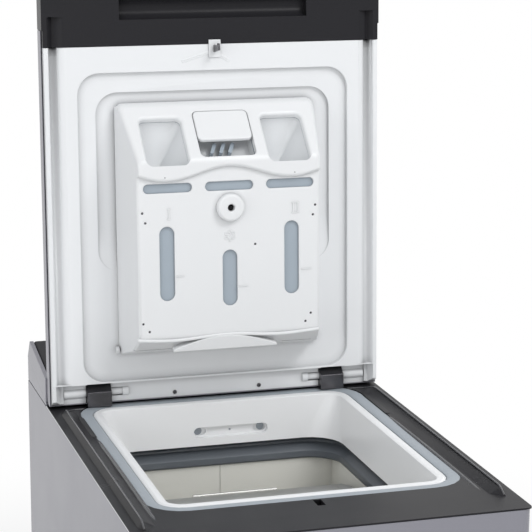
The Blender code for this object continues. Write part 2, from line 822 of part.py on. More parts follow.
def top_frame():
    """Dark moulded frame on the cabinet: flange, skirts, gasket seat, ridges and lock slot."""
    half = HALF_WIDTH - TOUCH
    front, rear = -HALF_DEPTH + TOUCH, CONSOLE_FRONT - TOUCH
    inner_half = HALF_WIDTH - PANEL_FLANGE - TOUCH
    inner_front = -HALF_DEPTH + SHEET + TOUCH
    plate = prism(rounded_outline(-half, half, front, rear, FRONT_CORNER_RADIUS / 2), "Z",
                  SIDE_TOP, SIDE_TOP + FRAME_LAND)
    body = block((-inner_half, inner_front, SIDE_TOP - FRAME_DEPTH),
                 (inner_half, rear, SIDE_TOP + FRAME_LAND / 2))
    hollow = block((-inner_half + FRAME_WALL, inner_front + FRAME_WALL, SIDE_TOP - FRAME_DEPTH - OVERRUN),
                   (inner_half - FRAME_WALL, rear - FRAME_WALL, SIDE_TOP + FRAME_LAND - FRAME_WALL))
    seat_out = GASKET_WIDTH + TOUCH + FRAME_WALL
    keep = loft([well_loop(seat_out, -FRAME_DEPTH), well_loop(seat_out, 0)])
    cut(body, hollow)
    frame = fuse(plate, body, keep)
    fuse(frame, ridge(-1), ridge(1))
    gasket_cut = loft([well_loop(GASKET_WIDTH + TOUCH, FRAME_LEDGE_TOP),
                       well_loop(GASKET_WIDTH + TOUCH, RIDGE_HEIGHT + OVERRUN)])
    throat_cut = loft([well_loop(-FUNNEL_BEAD_WIDTH / 2, -FRAME_DEPTH - OVERRUN),
                       well_loop(-FUNNEL_BEAD_WIDTH / 2, OVERRUN)])
    slot_y = HINGE_Y - HOOK_REACH
    lock_slot = block((-LOCK_SLOT_WIDTH / 2, slot_y - LOCK_SLOT_LENGTH / 2, SIDE_TOP - FRAME_DEPTH - OVERRUN),
                      (LOCK_SLOT_WIDTH / 2, slot_y + LOCK_SLOT_LENGTH / 2, SIDE_TOP + OVERRUN))
    cut(frame, gasket_cut, throat_cut, lock_slot)
    piece(frame, "top_frame", dark_plastic())


def lid_gasket():
    """Soft ring that the lid's white rim presses on."""
    section = ((0, -GASKET_BOTTOM), (0, -GASKET_TOP / 4), (GASKET_WIDTH / 6, GASKET_TOP / 2),
               (GASKET_WIDTH / 2, GASKET_TOP), (GASKET_WIDTH * 0.85, GASKET_TOP * 0.85),
               (GASKET_WIDTH, GASKET_TOP / 4), (GASKET_WIDTH, -GASKET_BOTTOM))
    ring = ring_solid([well_loop(TOUCH + offset, height) for offset, height in section])
    piece(ring, "lid_gasket", gasket_rubber())


def well_funnel():
    """White funnel: round bead on top, walls that draw in to the throat, recess at the rear."""
    bead = FUNNEL_BEAD_WIDTH
    rim = [well_loop(-TOUCH, -GASKET_BOTTOM), well_loop(-TOUCH, -FUNNEL_BEAD_TOP),
           well_loop(-bead * 0.25, FUNNEL_BEAD_TOP), well_loop(-bead * 0.7, FUNNEL_BEAD_TOP),
           well_loop(-bead, -FUNNEL_BEAD_TOP)]
    inside = [throat_loop(0, -FUNNEL_BOTTOM)]
    outside = [throat_loop(FUNNEL_WALL, -FUNNEL_BOTTOM),
               well_loop(-bead + FUNNEL_WALL, -GASKET_BOTTOM)]
    funnel = ring_solid(rim + inside + outside)
    low, high = SIDE_TOP - RECESS_DROP - RECESS_HEIGHT / 2, SIDE_TOP - RECESS_DROP + RECESS_HEIGHT / 2
    wall_y = THROAT_REAR
    backing = prism(rounded_outline(RECESS_CENTRE_X - RECESS_WIDTH / 2 - FUNNEL_WALL,
                                    RECESS_CENTRE_X + RECESS_WIDTH / 2 + FUNNEL_WALL,
                                    low - FUNNEL_WALL, high + FUNNEL_WALL,
                                    RECESS_HEIGHT / 2 + FUNNEL_WALL * 0.9), "Y",
                    wall_y + FUNNEL_WALL, wall_y + RECESS_BACKING)
    recess = prism(rounded_outline(RECESS_CENTRE_X - RECESS_WIDTH / 2, RECESS_CENTRE_X + RECESS_WIDTH / 2,
                                   low, high, RECESS_HEIGHT * 0.49), "Y",
                   wall_y - OVERRUN, wall_y + FUNNEL_WALL + RECESS_DEPTH)
    fuse(funnel, backing)
    cut(funnel, recess)
    for side in (-1, 1):
        x = RECESS_CENTRE_X + side * (RECESS_WIDTH - RECESS_POCKET_WIDTH) / 2
        inset = RECESS_HEIGHT / 8
        pocket = prism(rounded_outline(x - RECESS_POCKET_WIDTH / 2 + inset,
                                       x + RECESS_POCKET_WIDTH / 2 - inset,
                                       low + inset, high - inset, RECESS_HEIGHT * 0.35, 4), "Y",
                       wall_y, wall_y + FUNNEL_WALL + RECESS_DEPTH + RECESS_POCKET_DEPTH)
        cut(funnel, pocket)
    piece(funnel, "well_funnel", white_plastic())


def collar_loop(offset, height):
    """A loop that follows the funnel's outer face at a height, moved outward by an offset."""
    share = (height + FUNNEL_BOTTOM) / (FUNNEL_BOTTOM - GASKET_BOTTOM)
    low = throat_loop(FUNNEL_WALL + offset, height)
    high = well_loop(-FUNNEL_BEAD_WIDTH + FUNNEL_WALL + offset, height)
    return [a.lerp(b, share) for a, b in zip(low, high)]


def bellows():
    """Folded rubber ring between the funnel and the tub's neck."""
    wall = BELLOWS_WALL
    top, bottom = -FUNNEL_BOTTOM, -NECK_TOP + TOUCH
    outer_at_top = FUNNEL_WALL + TOUCH * 2
    collar_top = top + BELLOWS_COLLAR
    out = BELLOWS_FOLD_OUT
    lip = bottom + BELLOWS_LIP_HEIGHT
    middle = (top + lip) / 2
    section = ((outer_at_top, top - TOUCH * 2), (out, middle + wall), (out, middle),
               (wall * 0.6, lip + wall * 0.6), (-wall * 0.4, lip - wall * 0.4),
               (-wall * 0.4, bottom + wall), (wall * 0.5, bottom), (outer_at_top + wall * 2, bottom),
               (outer_at_top + wall * 2, bottom + wall), (wall * 1.2, bottom + wall * 1.4),
               (wall * 0.8, lip - wall), (wall * 1.2, lip + wall * 0.2), (out + wall, middle - wall * 0.6),
               (out + wall, middle + wall * 1.4))
    folds = [throat_loop(offset, height) for offset, height in section]
    collar = [collar_loop(TOUCH * 2 + wall, top), collar_loop(TOUCH * 2 + wall, collar_top),
              collar_loop(TOUCH * 2, collar_top), collar_loop(TOUCH * 2, top)]
    ring = ring_solid(folds + collar)
    piece(ring, "bellows", grey_rubber())


# Lid, modelled shut round the hinge line at (0, 0)


def lid_point(reach, rise):
    """Side-view point of the shut lid from reach and rise."""
    return (-reach, -LID_HALF_THICKNESS - rise)


def lid_box(x_low, x_high, reach_low, reach_high, rise_low, rise_high):
    return block((x_low, -reach_high, -LID_HALF_THICKNESS - rise_high),
                 (x_high, -reach_low, -LID_HALF_THICKNESS - rise_low))


def lid_skin(lid):
    """Outer sheet: flat top, hemmed sides and a rear edge rolled round the hinge line."""
    radius = LID_HALF_THICKNESS
    hem = LID_HALF_THICKNESS - LID_HEM
    end_angle = asin(hem / radius) * 180 / pi
    outer = [(-LID_SKIN_FRONT, radius)] + arc((0, 0), radius, 90, end_angle, 9)
    shell = prism(outer + [(-LID_SKIN_FRONT, hem)], "X", -LID_HALF_WIDTH, LID_HALF_WIDTH)
    inner_radius = radius - LID_SKIN
    inner = [(-LID_SKIN_FRONT - OVERRUN, inner_radius)] + arc((0, 0), inner_radius, 90, -45, 9)
    inner += [(-LID_SKIN_FRONT - OVERRUN, -radius)]
    cut(shell, prism(inner, "X", -LID_HALF_WIDTH + LID_SKIN, LID_HALF_WIDTH - LID_SKIN))
    piece(shell, "lid_skin", silver_paint(), lid)


def field_cut():
    """Cutter for the wide sunk field of the inner panel, with drawn-in walls."""
    def loop(inset, rise):
        outline = rounded_outline(-FIELD_HALF_WIDTH + inset, FIELD_HALF_WIDTH - inset,
                                  -FIELD_FAR + inset, -FIELD_NEAR - inset, FIELD_CORNER - inset, 6)
        return [Vector((x, y, -LID_HALF_THICKNESS - rise)) for x, y in outline]
    return loft([loop(FIELD_SLOPE, -FIELD_DEPTH), loop(0, 0), loop(0, OVERRUN)])


def plateau_cut():
    """Cutter for the second, upper sink, which fades out towards the hinge."""
    span = PLATEAU_FAR - PLATEAU_NEAR
    outline = rounded_outline(-PLATEAU_HALF_WIDTH, PLATEAU_HALF_WIDTH, -PLATEAU_FAR, -PLATEAU_NEAR,
                              FIELD_CORNER, 6)

    def floor(y):
        share = (-y - PLATEAU_NEAR) / span
        return -LID_HALF_THICKNESS + FIELD_DEPTH - TOUCH + (PLATEAU_DEPTH + TOUCH) * share
    low = [Vector((x, y, -LID_HALF_THICKNESS - OVERRUN)) for x, y in outline]
    high = [Vector((x, y, floor(y))) for x, y in outline]
    return loft([low, high])


def lid_inner(lid):
    """White inner moulding with its sunk fields, side grooves, hinge trough and ears."""
    top = LID_HALF_THICKNESS - LID_SKIN - TOUCH
    half = LID_HALF_WIDTH - LID_SKIN - LID_PANEL_GAP
    low = -LID_HALF_THICKNESS
    profile = [(-LID_PANEL_FRONT, top)] + arc((0, 0), top, 90, -30, 8)
    profile += [(LID_PANEL_TAIL, low), (-LID_PANEL_FRONT, low)]
    panel = prism(profile, "X", -half, half)
    cut(panel, field_cut(), plateau_cut())
    lighten(panel)
    for side in (-1, 1):
        run_in, run_out = GROOVE_INNER_RUN, GROOVE_OUTER_RUN
        bottom = GROOVE_OUTER_RUN / 5
        groove = [(side * (GROOVE_CENTRE - run_in), low - TOUCH),
                  (side * (GROOVE_CENTRE - bottom), low + GROOVE_DEPTH),
                  (side * (GROOVE_CENTRE + bottom), low + GROOVE_DEPTH),
                  (side * (GROOVE_CENTRE + run_out), low - TOUCH)]
        cut(panel, prism(groove, "Y", -LID_REACH, LID_HALF_THICKNESS + OVERRUN))
    tail = LID_HALF_THICKNESS + OVERRUN
    cut(panel, lid_box(-TROUGH_HALF_WIDTH, TROUGH_HALF_WIDTH, -tail, TROUGH_REACH, -TROUGH_DEPTH, OVERRUN))
    for side in (-1, 1):
        ends = sorted((side * BARREL_INNER, side * BARREL_OUTER))
        fuse(panel, cylinder("X", (0, 0), ends[0], ends[1], BARREL_RADIUS, 20))
        ends = sorted((side * JOURNAL_INNER, side * JOURNAL_OUTER))
        fuse(panel, cylinder("X", (0, 0), ends[0], ends[1], BARREL_RADIUS, 20))
        pocket = sorted((side * (BRACKET_INNER - RUNNING_GAP), side * (BRACKET_OUTER + RUNNING_GAP)))
        cut(panel, block((pocket[0], -BRACKET_POCKET_REACH, low - OVERRUN),
                         (pocket[1], tail, BRACKET_POCKET_TOP)))
        open_bay = sorted((side * JOURNAL_OUTER, side * BRACKET_INNER))
        cut(panel, block((open_bay[0], -PIN_RADIUS - RUNNING_GAP, low - OVERRUN),
                         (open_bay[1], PIN_RADIUS + RUNNING_GAP, PIN_RADIUS + RUNNING_GAP)))
        bore = sorted((side * (PIN_INNER - TOUCH), side * (PIN_OUTER + TOUCH)))
        cut(panel, cylinder("X", (0, 0), bore[0], bore[1], PIN_RADIUS + TOUCH, 20))
        fuse(panel, dispenser_ear(side))
    piece(panel, "lid_inner", white_plastic(), lid)


def lighten(panel):
    """Open the panel's upper side, which the sheet covers, into bays between ribs."""
    near, far = TROUGH_REACH + 2 * PANEL_POCKET_MARGIN, LID_PANEL_FRONT - PANEL_POCKET_MARGIN
    span = (far - near - (PANEL_RIB_COUNT - 1) * PANEL_RIB_THICKNESS) / PANEL_RIB_COUNT
    inside = GROOVE_CENTRE - GROOVE_INNER_RUN - PANEL_POCKET_MARGIN / 2
    for i in range(PANEL_RIB_COUNT):
        start = near + i * (span + PANEL_RIB_THICKNESS)
        cut(panel, block((-inside, -start - span, PANEL_POCKET_FLOOR),
                         (inside, -start, LID_HALF_THICKNESS + OVERRUN)))


def dispenser_ear(side):
    """Small ear on the inner panel that takes the dispenser's trunnion."""
    y, z = lid_point(DISP_PIVOT_REACH, DISP_PIVOT_RISE)
    near = DISP_BACK_HALF + TOUCH * 2
    ends = sorted((side * near, side * (near + EAR_WIDTH)))
    root = -LID_HALF_THICKNESS + FIELD_DEPTH + OVERRUN / 4
    outline = arc((y, z), EAR_RADIUS, 180, 360, 8) + [(y + EAR_RADIUS, root), (y - EAR_RADIUS, root)]
    ear = prism(outline, "X", ends[0], ends[1])
    bore = sorted((side * (near - OVERRUN), side * (near + EAR_WIDTH + OVERRUN)))
    return cut(ear, cylinder("X", (y, z), bore[0], bore[1], TRUNNION_RADIUS + TOUCH, 16))


def lid_handle(lid):
    """Dark strip along the lid's front, with a rounded nose and a finger scoop below."""
    half = LID_HALF_THICKNESS
    nose = HANDLE_NOSE
    front = -LID_REACH
    profile = [(-LID_SKIN_FRONT - TOUCH, half)] + arc((front + nose, half - nose), nose, 90, 180, 5)
    profile += arc((front + nose / 2, -half + nose / 2), nose / 2, 180, 270, 3)
    profile += [(-LID_SKIN_FRONT - TOUCH, -half)]
    grip = prism(profile, "X", -LID_HALF_WIDTH, LID_HALF_WIDTH)
    inset = LID_HALF_WIDTH - LID_SKIN - TOUCH
    tongue = block((-inset, -LID_SKIN_FRONT - OVERRUN, -half),
                   (inset, -LID_PANEL_FRONT - TOUCH, half - LID_SKIN - TOUCH))
    fuse(grip, tongue)
    for side in (-1, 1):
        groove = [(side * (GROOVE_CENTRE - GROOVE_INNER_RUN), -half - TOUCH),
                  (side * GROOVE_CENTRE, -half + GROOVE_DEPTH),
                  (side * (GROOVE_CENTRE + GROOVE_OUTER_RUN), -half - TOUCH)]
        cut(grip, prism(groove, "Y", -HINGE_Y - RIDGE_FRONT - OVERRUN, -LID_PANEL_FRONT + OVERRUN))
    scoop_y = (front - LID_SKIN_FRONT) / 2
    cut(grip, cylinder("X", (scoop_y, -half), -HANDLE_SCOOP_HALF_LENGTH, HANDLE_SCOOP_HALF_LENGTH,
                       HANDLE_SCOOP_RADIUS, 24))
    piece(grip, "lid_handle", dark_plastic(), lid)


def lid_hook(lid):
    """Steel latch hook on a small plate under the lid's front."""
    seat = -LID_HALF_THICKNESS - TOUCH
    plate_near = HOOK_REACH - HOOK_PLATE_LENGTH / 2 - HOOK_LENGTH / 8
    centre = -plate_near - HOOK_PLATE_LENGTH / 2
    plate = block((-HOOK_PLATE_WIDTH / 2, centre - HOOK_PLATE_LENGTH / 2, seat - HOOK_PLATE_THICKNESS),
                  (HOOK_PLATE_WIDTH / 2, centre + HOOK_PLATE_LENGTH / 2, seat))
    near, far = -HOOK_REACH + HOOK_LENGTH / 2, -HOOK_REACH - HOOK_LENGTH / 2
    tip = seat - HOOK_RISE
    outline = [(near, seat - HOOK_PLATE_THICKNESS / 2), (near - HOOK_BARB, tip), (far + HOOK_BARB, tip),
               (far, tip + HOOK_BARB), (far + HOOK_BARB, tip + HOOK_BARB * 1.4),
               (far + HOOK_BARB, seat - HOOK_PLATE_THICKNESS / 2)]
    blade = prism(outline, "X", -HOOK_THICKNESS / 2, HOOK_THICKNESS / 2)
    piece(fuse(plate, blade), "lid_hook", dark_steel(), lid)


def hinge_pins(lid):
    """White pins that join the lid's barrels through the brackets."""
    for label, side in SIDES:
        ends = sorted((side * PIN_INNER, side * PIN_OUTER))
        pin = cylinder("X", (0, 0), ends[0], ends[1], PIN_RADIUS, 20)
        piece(pin, f"hinge_pin_{label}", white_plastic(), lid)


def hinge_brackets():
    """Dark steel brackets on the top frame whose knuckles hold the pins."""
    foot_low = -HINGE_RISE + FRAME_LAND + TOUCH
    knuckle = arc((0, 0), BRACKET_KNUCKLE, 150, -50, 12)
    outline = [(BRACKET_FOOT_REAR, foot_low), (-BRACKET_FACE, foot_low), (-BRACKET_FACE, BRACKET_FOOT * 2)]
    outline += knuckle + [(-BRACKET_FACE + BRACKET_NECK, -BRACKET_WAIST),
                          (-BRACKET_FACE + BRACKET_NECK, foot_low + BRACKET_FOOT),
                          (BRACKET_FOOT_REAR, foot_low + BRACKET_FOOT)]
    for label, side in SIDES:
        ends = sorted((side * BRACKET_INNER, side * BRACKET_OUTER))
        solid = prism([(HINGE_Y + y, HINGE_Z + z) for y, z in outline], "X", ends[0], ends[1])
        cut(solid, cylinder("X", (HINGE_Y, HINGE_Z), ends[0] - OVERRUN, ends[1] + OVERRUN,
                            PIN_RADIUS + TOUCH, 20))
        piece(solid, f"hinge_bracket_{label}", dark_steel())


# Dispenser


def disp_half_width(rise, inset=0.0):
    share = (rise - DISP_BACK) / (DISP_FACE - DISP_BACK)
    return DISP_BACK_HALF + (DISP_FACE_HALF - DISP_BACK_HALF) * share - inset


def disp_wedge(profile, inset=0.0):
    """Solid from a side profile whose width narrows with the rise, as the moulding does."""
    bm = bmesh.new()
    sides = []
    for side in (-1, 1):
        sides.append([bm.verts.new((side * disp_half_width(rise, inset), *lid_point(reach, rise)))
                      for reach, rise in profile])
    bm.faces.new(sides[0])
    bm.faces.new(sides[1])
    count = len(profile)
    for i in range(count):
        j = (i + 1) % count
        bm.faces.new((sides[0][i], sides[0][j], sides[1][j], sides[1][i]))
    return solid_from(bm)


def slope_direction():
    """Unit vectors along and square to the dispenser's sloped upper face, as (reach, rise)."""
    run, fall = DISP_TOP - DISP_FACE_FAR, DISP_FACE - DISP_BACK
    length = sqrt(run * run + fall * fall)
    along = (run / length, -fall / length)
    return along, (fall / length, run / length)


def slope_prism(x_low, x_high, reach_low, reach_high, depth, proud, corner=0.006):
    """Round-cornered cutter square to the slope between two reaches along it."""
    along, normal = slope_direction()
    start = (reach_low - DISP_FACE_FAR) / along[0]
    end = (reach_high - DISP_FACE_FAR) / along[0]
    outline = rounded_outline(x_low, x_high, start, end, corner, 3)

    def loop(out):
        points = []
        for x, s in outline:
            reach = DISP_FACE_FAR + along[0] * s + normal[0] * out
            rise = DISP_FACE + along[1] * s + normal[1] * out
            y, z = lid_point(reach, rise)
            points.append(Vector((x, y, z)))
        return points
    return loft([loop(-depth), loop(proud)])


def face_prism(outline, low, high):
    """Extrude an outline of (x, reach) points through the dispenser's face."""
    return prism([(x, -reach) for x, reach in outline], "Z",
                 -LID_HALF_THICKNESS - high, -LID_HALF_THICKNESS - low)


def hood_outline():
    """Outline of the raised hood on the face: a waved lower edge and a straight upper one."""
    half = DISP_FACE_HALF
    points = []
    for i in range(HOOD_WAVE_STEPS + 1):
        x = -half + 2 * half * i / HOOD_WAVE_STEPS
        points.append((x, HOOD_LOW_MEAN + HOOD_WAVE * cos(2 * pi * x / HOOD_WAVELENGTH)))
    return points + [(half, DISP_FACE_FAR + HOOD_PROUD / 2), (-half, DISP_FACE_FAR + HOOD_PROUD / 2)]


def dispenser_front(disp, origin):
    """White cover: box with sloped top, waved hood, chamber mouths, slots and windows."""
    outer = [(DISP_BOTTOM, DISP_BACK + DISP_HEEL), (DISP_BOTTOM + DISP_HEEL, DISP_BACK),
             (DISP_TOP, DISP_BACK), (DISP_FACE_FAR, DISP_FACE), (DISP_FACE_NEAR, DISP_FACE),
             (DISP_UNDER, DISP_UNDER_RISE)]
    wall = DISP_WALL
    inner = [(DISP_BOTTOM + wall, DISP_BACK + DISP_HEEL), (DISP_BOTTOM + DISP_HEEL, DISP_BACK - OVERRUN),
             (DISP_TOP - wall * 1.4, DISP_BACK - OVERRUN), (DISP_TOP - wall * 1.8, DISP_BACK + wall / 2),
             (DISP_FACE_FAR - wall * 0.6, DISP_FACE - wall), (DISP_FACE_NEAR + wall * 0.6, DISP_FACE - wall),
             (DISP_UNDER + wall, DISP_UNDER_RISE)]
    cover = soften(disp_wedge(outer), DISP_EDGE / 2, 2)
    along, normal = slope_direction()
    proud = HOOD_PROUD
    hood_side = [(DISP_FACE_FAR - proud, DISP_FACE - wall / 2),
                 (DISP_FACE_FAR + proud * 0.3, DISP_FACE + proud),
                 (DISP_TOP + proud * normal[0] * 0.6, DISP_BACK + proud * normal[1] * 0.6),
                 (DISP_TOP - wall, DISP_BACK + wall / 4)]
    fuse(cover, disp_wedge(hood_side, RUNNING_GAP))
    fuse(cover, face_prism(hood_outline(), DISP_FACE - wall / 2, DISP_FACE + proud))
    cut(cover, disp_wedge(inner, wall))
    for k in (-1, 0, 1):
        half = CHAMBER_HALF_WIDTH if k else PAD_HALF_WIDTH
        low = CHAMBER_LOW_REACH if k else CHAMBER_LOW_REACH + wall * 2
        high = CHAMBER_HIGH_REACH if k else CHAMBER_HIGH_REACH + wall * 2
        cut(cover, slope_prism(k * CHAMBER_PITCH - half, k * CHAMBER_PITCH + half, low, high,
                               DISP_WALL * 3, HOOD_PROUD * 3))
        near, far = (WINDOW_NEAR, WINDOW_FAR) if k else (CENTRE_WINDOW_NEAR, CENTRE_WINDOW_FAR)
        x = k * WINDOW_PITCH
        cut(cover, face_prism(rounded_outline(x - WINDOW_WIDTH / 2, x + WINDOW_WIDTH / 2, near, far,
                                              WINDOW_WIDTH * 0.49, 5), DISP_FACE - OVERRUN,
                              DISP_FACE + OVERRUN))
        x = k * SLOT_PITCH
        cut(cover, face_prism(rounded_outline(x - SLOT_WIDTH / 2, x + SLOT_WIDTH / 2,
                                              SLOT_REACH - SLOT_HEIGHT / 2,
                                              SLOT_REACH + SLOT_HEIGHT / 2, SLOT_HEIGHT * 0.49, 4),
                              DISP_FACE - OVERRUN, DISP_FACE + OVERRUN))
    fuse(cover, spout_wedge())
    y, z = lid_point(DISP_PIVOT_REACH, DISP_PIVOT_RISE)
    for side in (-1, 1):
        half = disp_half_width(DISP_PIVOT_RISE)
        ends = sorted((side * (half - DISP_WALL / 2), side * (half + TRUNNION_LENGTH)))
        fuse(cover, cylinder("X", (y, z), ends[0], ends[1], TRUNNION_RADIUS, 16))
    piece(cover, "dispenser_front", white_plastic(), disp, origin)


def spout_wedge():
    """Lens-shaped lip in the middle of the dispenser's lower edge."""
    run, climb = DISP_FACE_NEAR - DISP_UNDER, DISP_FACE - DISP_UNDER_RISE
    length = sqrt(run * run + climb * climb)
    along, out = (run / length, climb / length), (-climb / length, run / length)
    half = WEDGE_HALF_WIDTH
    points = [(-half, -DISP_WALL), (half, -DISP_WALL)]
    for i in range(1, 12):
        x = half - 2 * half * i / 12
        points.append((x, length * cos(pi * x / (2 * half))))

    def loop(proud):
        made = []
        for x, s in points:
            y, z = lid_point(DISP_UNDER + along[0] * s + out[0] * proud,
                             DISP_UNDER_RISE + along[1] * s + out[1] * proud)
            made.append(Vector((x, y, z)))
        return made
    return loft([loop(-DISP_WALL / 2), loop(WEDGE_THICKNESS)])


def dispenser_tray(disp, origin):
    """Translucent insert behind the cover with three chambers open at the slope."""
    gap = DISP_WALL + TRAY_GAP
    block_side = [(DISP_BOTTOM + gap + DISP_HEEL, DISP_BACK + DISP_WALL),
                  (DISP_TOP - gap * 3, DISP_BACK + DISP_WALL),
                  (DISP_FACE_FAR - gap * 0.9, DISP_FACE - gap), (DISP_FACE_NEAR + gap * 0.9, DISP_FACE - gap),
                  (DISP_UNDER + gap * 1.6, DISP_UNDER_RISE)]
    tray = disp_wedge(block_side, gap + TRAY_GAP)
    wall = TRAY_WALL
    for k in (-1, 0, 1):
        x = k * (TRAY_CHAMBER_HALF * 2 + wall)
        low = x - TRAY_CHAMBER_HALF
        high = x + TRAY_CHAMBER_HALF
        near = DISP_FACE_NEAR + gap * 2 + wall
        chamber = [lid_point(near, DISP_BACK + DISP_WALL + wall),
                   lid_point(DISP_TOP, DISP_BACK + DISP_WALL + wall),
                   lid_point(DISP_TOP, DISP_FACE - gap - wall), lid_point(near, DISP_FACE - gap - wall)]
        cut(tray, prism(chamber, "X", low, high))
    piece(tray, "dispenser_tray", tray_plastic(), disp, origin)


def dispenser_boss(disp, origin):
    """Round chamfered boss with a bore in the middle of the face."""
    low = -LID_HALF_THICKNESS - DISP_FACE - TOUCH
    high = low - BOSS_HEIGHT
    profile = [(low, BOSS_BORE), (low, BOSS_RADIUS), (high + BOSS_HEIGHT * 0.35, BOSS_RADIUS),
               (high, BOSS_RADIUS * 0.8), (high, BOSS_BORE)]
    boss = lathe(profile, "Z", (0, -BOSS_REACH), 24)
    piece(boss, "dispenser_boss", white_plastic(), disp, origin)


def release_pad(disp, origin):
    """Press pad in the middle of the slope that lets the dispenser go."""
    along, normal = slope_direction()
    high = CHAMBER_HIGH_REACH + DISP_WALL * 2 - RUNNING_GAP
    low = high - PAD_LENGTH * along[0]
    half = PAD_HALF_WIDTH - RUNNING_GAP
    pad = slope_prism(-half, half, low, high, -HOOD_PROUD / 4, HOOD_PROUD / 4 + PAD_THICKNESS, 0.005)
    reach = (low + high) / 2
    s = (reach - DISP_FACE_FAR) / along[0]
    y, z = lid_point(reach, DISP_FACE + along[1] * s)
    empty = pivot("release_pad_slide", Vector((0, y, z)) - Vector(origin), disp)
    piece(pad, "release_pad", white_plastic(), empty, (0, y, z))


# Console and controls


def slab_direction():
    """Unit vectors along and square to the console's sloping top, as (y, z)."""
    run, climb = SLAB_REAR_TOP_Y - CONSOLE_FRONT, SLAB_REAR_TOP - SLAB_FRONT_TOP
    length = sqrt(run * run + climb * climb)
    return (run / length, climb / length), (-climb / length, run / length)


def slab_outline(inset):
    """End view of the console slab, drawn in by an inset on all its sides."""
    base_front = SIDE_TOP + CONSOLE_BASE_FRONT_HEIGHT + TOUCH
    base_rear = SIDE_TOP + CONSOLE_BASE_REAR_HEIGHT + TOUCH
    return [(CONSOLE_FRONT + inset, base_front + inset * 1.2),
            (CONSOLE_REAR - inset * 2.2, base_rear + inset * 0.8),
            (SLAB_REAR_TOP_Y - inset * 0.8, SIDE_TOP + SLAB_REAR_TOP - inset),
            (CONSOLE_FRONT + inset, SIDE_TOP + SLAB_FRONT_TOP - inset)]


def on_slab(depth, share=0.55):
    """Point on the slab's top at a share of its width, sunk by a depth square to it."""
    _, normal = slab_direction()
    y = CONSOLE_FRONT + (SLAB_REAR_TOP_Y - CONSOLE_FRONT) * share
    z = SIDE_TOP + SLAB_FRONT_TOP + (SLAB_REAR_TOP - SLAB_FRONT_TOP) * share
    return y - normal[0] * depth, z - normal[1] * depth


def slab_turn(x, depth=0.0):
    """Matrix that stands a piece modelled along +Z on the slab's top."""
    along, _ = slab_direction()
    y, z = on_slab(depth)
    return Matrix.Translation((x, y, z)) @ Matrix.Rotation(atan2(along[1], along[0]), 4, "X")


def button_places():
    return (("start_button", START_BUTTON_X), ("option_button", OPTION_BUTTON_X))


def console_panel():
    """Dark sloping slab, hollow below, with holes for the knob and the buttons."""
    half = HALF_WIDTH - CONSOLE_END - TOUCH
    slab = soften(prism(slab_outline(0), "X", -half, half), SLAB_WALL, 3, 40)
    wall = SLAB_WALL
    inner = slab_outline(wall)
    inner[0] = (inner[0][0], inner[0][1] - wall * 2)
    inner[1] = (inner[1][0], inner[1][1] - wall * 2)
    cut(slab, prism(inner, "X", -half + wall, half - wall))
    cut(slab, turned(cylinder("Z", (0, 0), -OVERRUN, OVERRUN, KNOB_SHAFT_RADIUS + RUNNING_GAP, 16),
                     slab_turn(KNOB_X)))
    for _, x in button_places():
        length, width = BUTTON_LENGTH / 2 + RUNNING_GAP, BUTTON_WIDTH / 2 + RUNNING_GAP
        hole = prism(rounded_outline(-length, length, -width, width, BUTTON_WIDTH / 4, 3), "Z", -OVERRUN,
                     OVERRUN)
        cut(slab, turned(hole, slab_turn(x)))
    piece(slab, "console_panel", dark_plastic())


def console_ends():
    """Silver caps on both ends of the slab."""
    for label, side in SIDES:
        ends = sorted((side * (HALF_WIDTH - CONSOLE_END), side * HALF_WIDTH))
        cap = soften(prism(slab_outline(0), "X", ends[0], ends[1]), CONSOLE_END / 6, 2, 40)
        piece(cap, f"console_end_{label}", silver_paint())


def console_base():
    """Silver wedge-shaped housing between the cabinet and the slab."""
    low = SIDE_TOP + TOUCH / 2
    wall = CONSOLE_BASE_WALL
    front, rear = CONSOLE_FRONT, CONSOLE_REAR
    profile = [(front, low), (rear, low), (rear, SIDE_TOP + CONSOLE_BASE_REAR_HEIGHT),
               (front, SIDE_TOP + CONSOLE_BASE_FRONT_HEIGHT)]
    wedge = prism(profile, "X", -HALF_WIDTH + TOUCH, HALF_WIDTH - TOUCH)
    cut(wedge, block((-HALF_WIDTH + PANEL_FLANGE, front + wall, low - OVERRUN),
                     (HALF_WIDTH - PANEL_FLANGE, rear - wall, SIDE_TOP + SLAB_REAR_TOP)))
    piece(wedge, "console_base", silver_paint())


def control_board():
    """Circuit board on posts under the slab, with a few components."""
    depth = SLAB_WALL + BOARD_DROP
    half, width = BOARD_HALF_LENGTH, BOARD_WIDTH / 2
    board = block((-half, -width, -BOARD_THICKNESS), (half, width, 0))
    post_top = BOARD_DROP - TOUCH
    for side in (-1, 1):
        for end in (-1, 1):
            x, y = side * (half - BOARD_POST_RADIUS * 2), end * (width - BOARD_POST_RADIUS * 2)
            fuse(board, cylinder("Z", (x, y), -BOARD_THICKNESS / 2, post_top, BOARD_POST_RADIUS, 12))
    for k in range(4):
        x = -half / 2 - BOARD_CHIP * 1.6 * (k - 1)
        fuse(board, block((x, -BOARD_CHIP / 2, -BOARD_THICKNESS / 2),
                          (x + BOARD_CHIP, BOARD_CHIP / 2, BOARD_CHIP_HEIGHT)))
    for _, x in button_places():
        top = BOARD_DROP - BUTTON_TRAVEL - TOUCH * 2
        fuse(board, block((x - BUTTON_WIDTH / 2, -BUTTON_WIDTH / 2, -BOARD_THICKNESS / 2),
                          (x + BUTTON_WIDTH / 2, BUTTON_WIDTH / 2, top)))
    turned(board, slab_turn(0, depth))
    piece(board, "control_board", board_green())


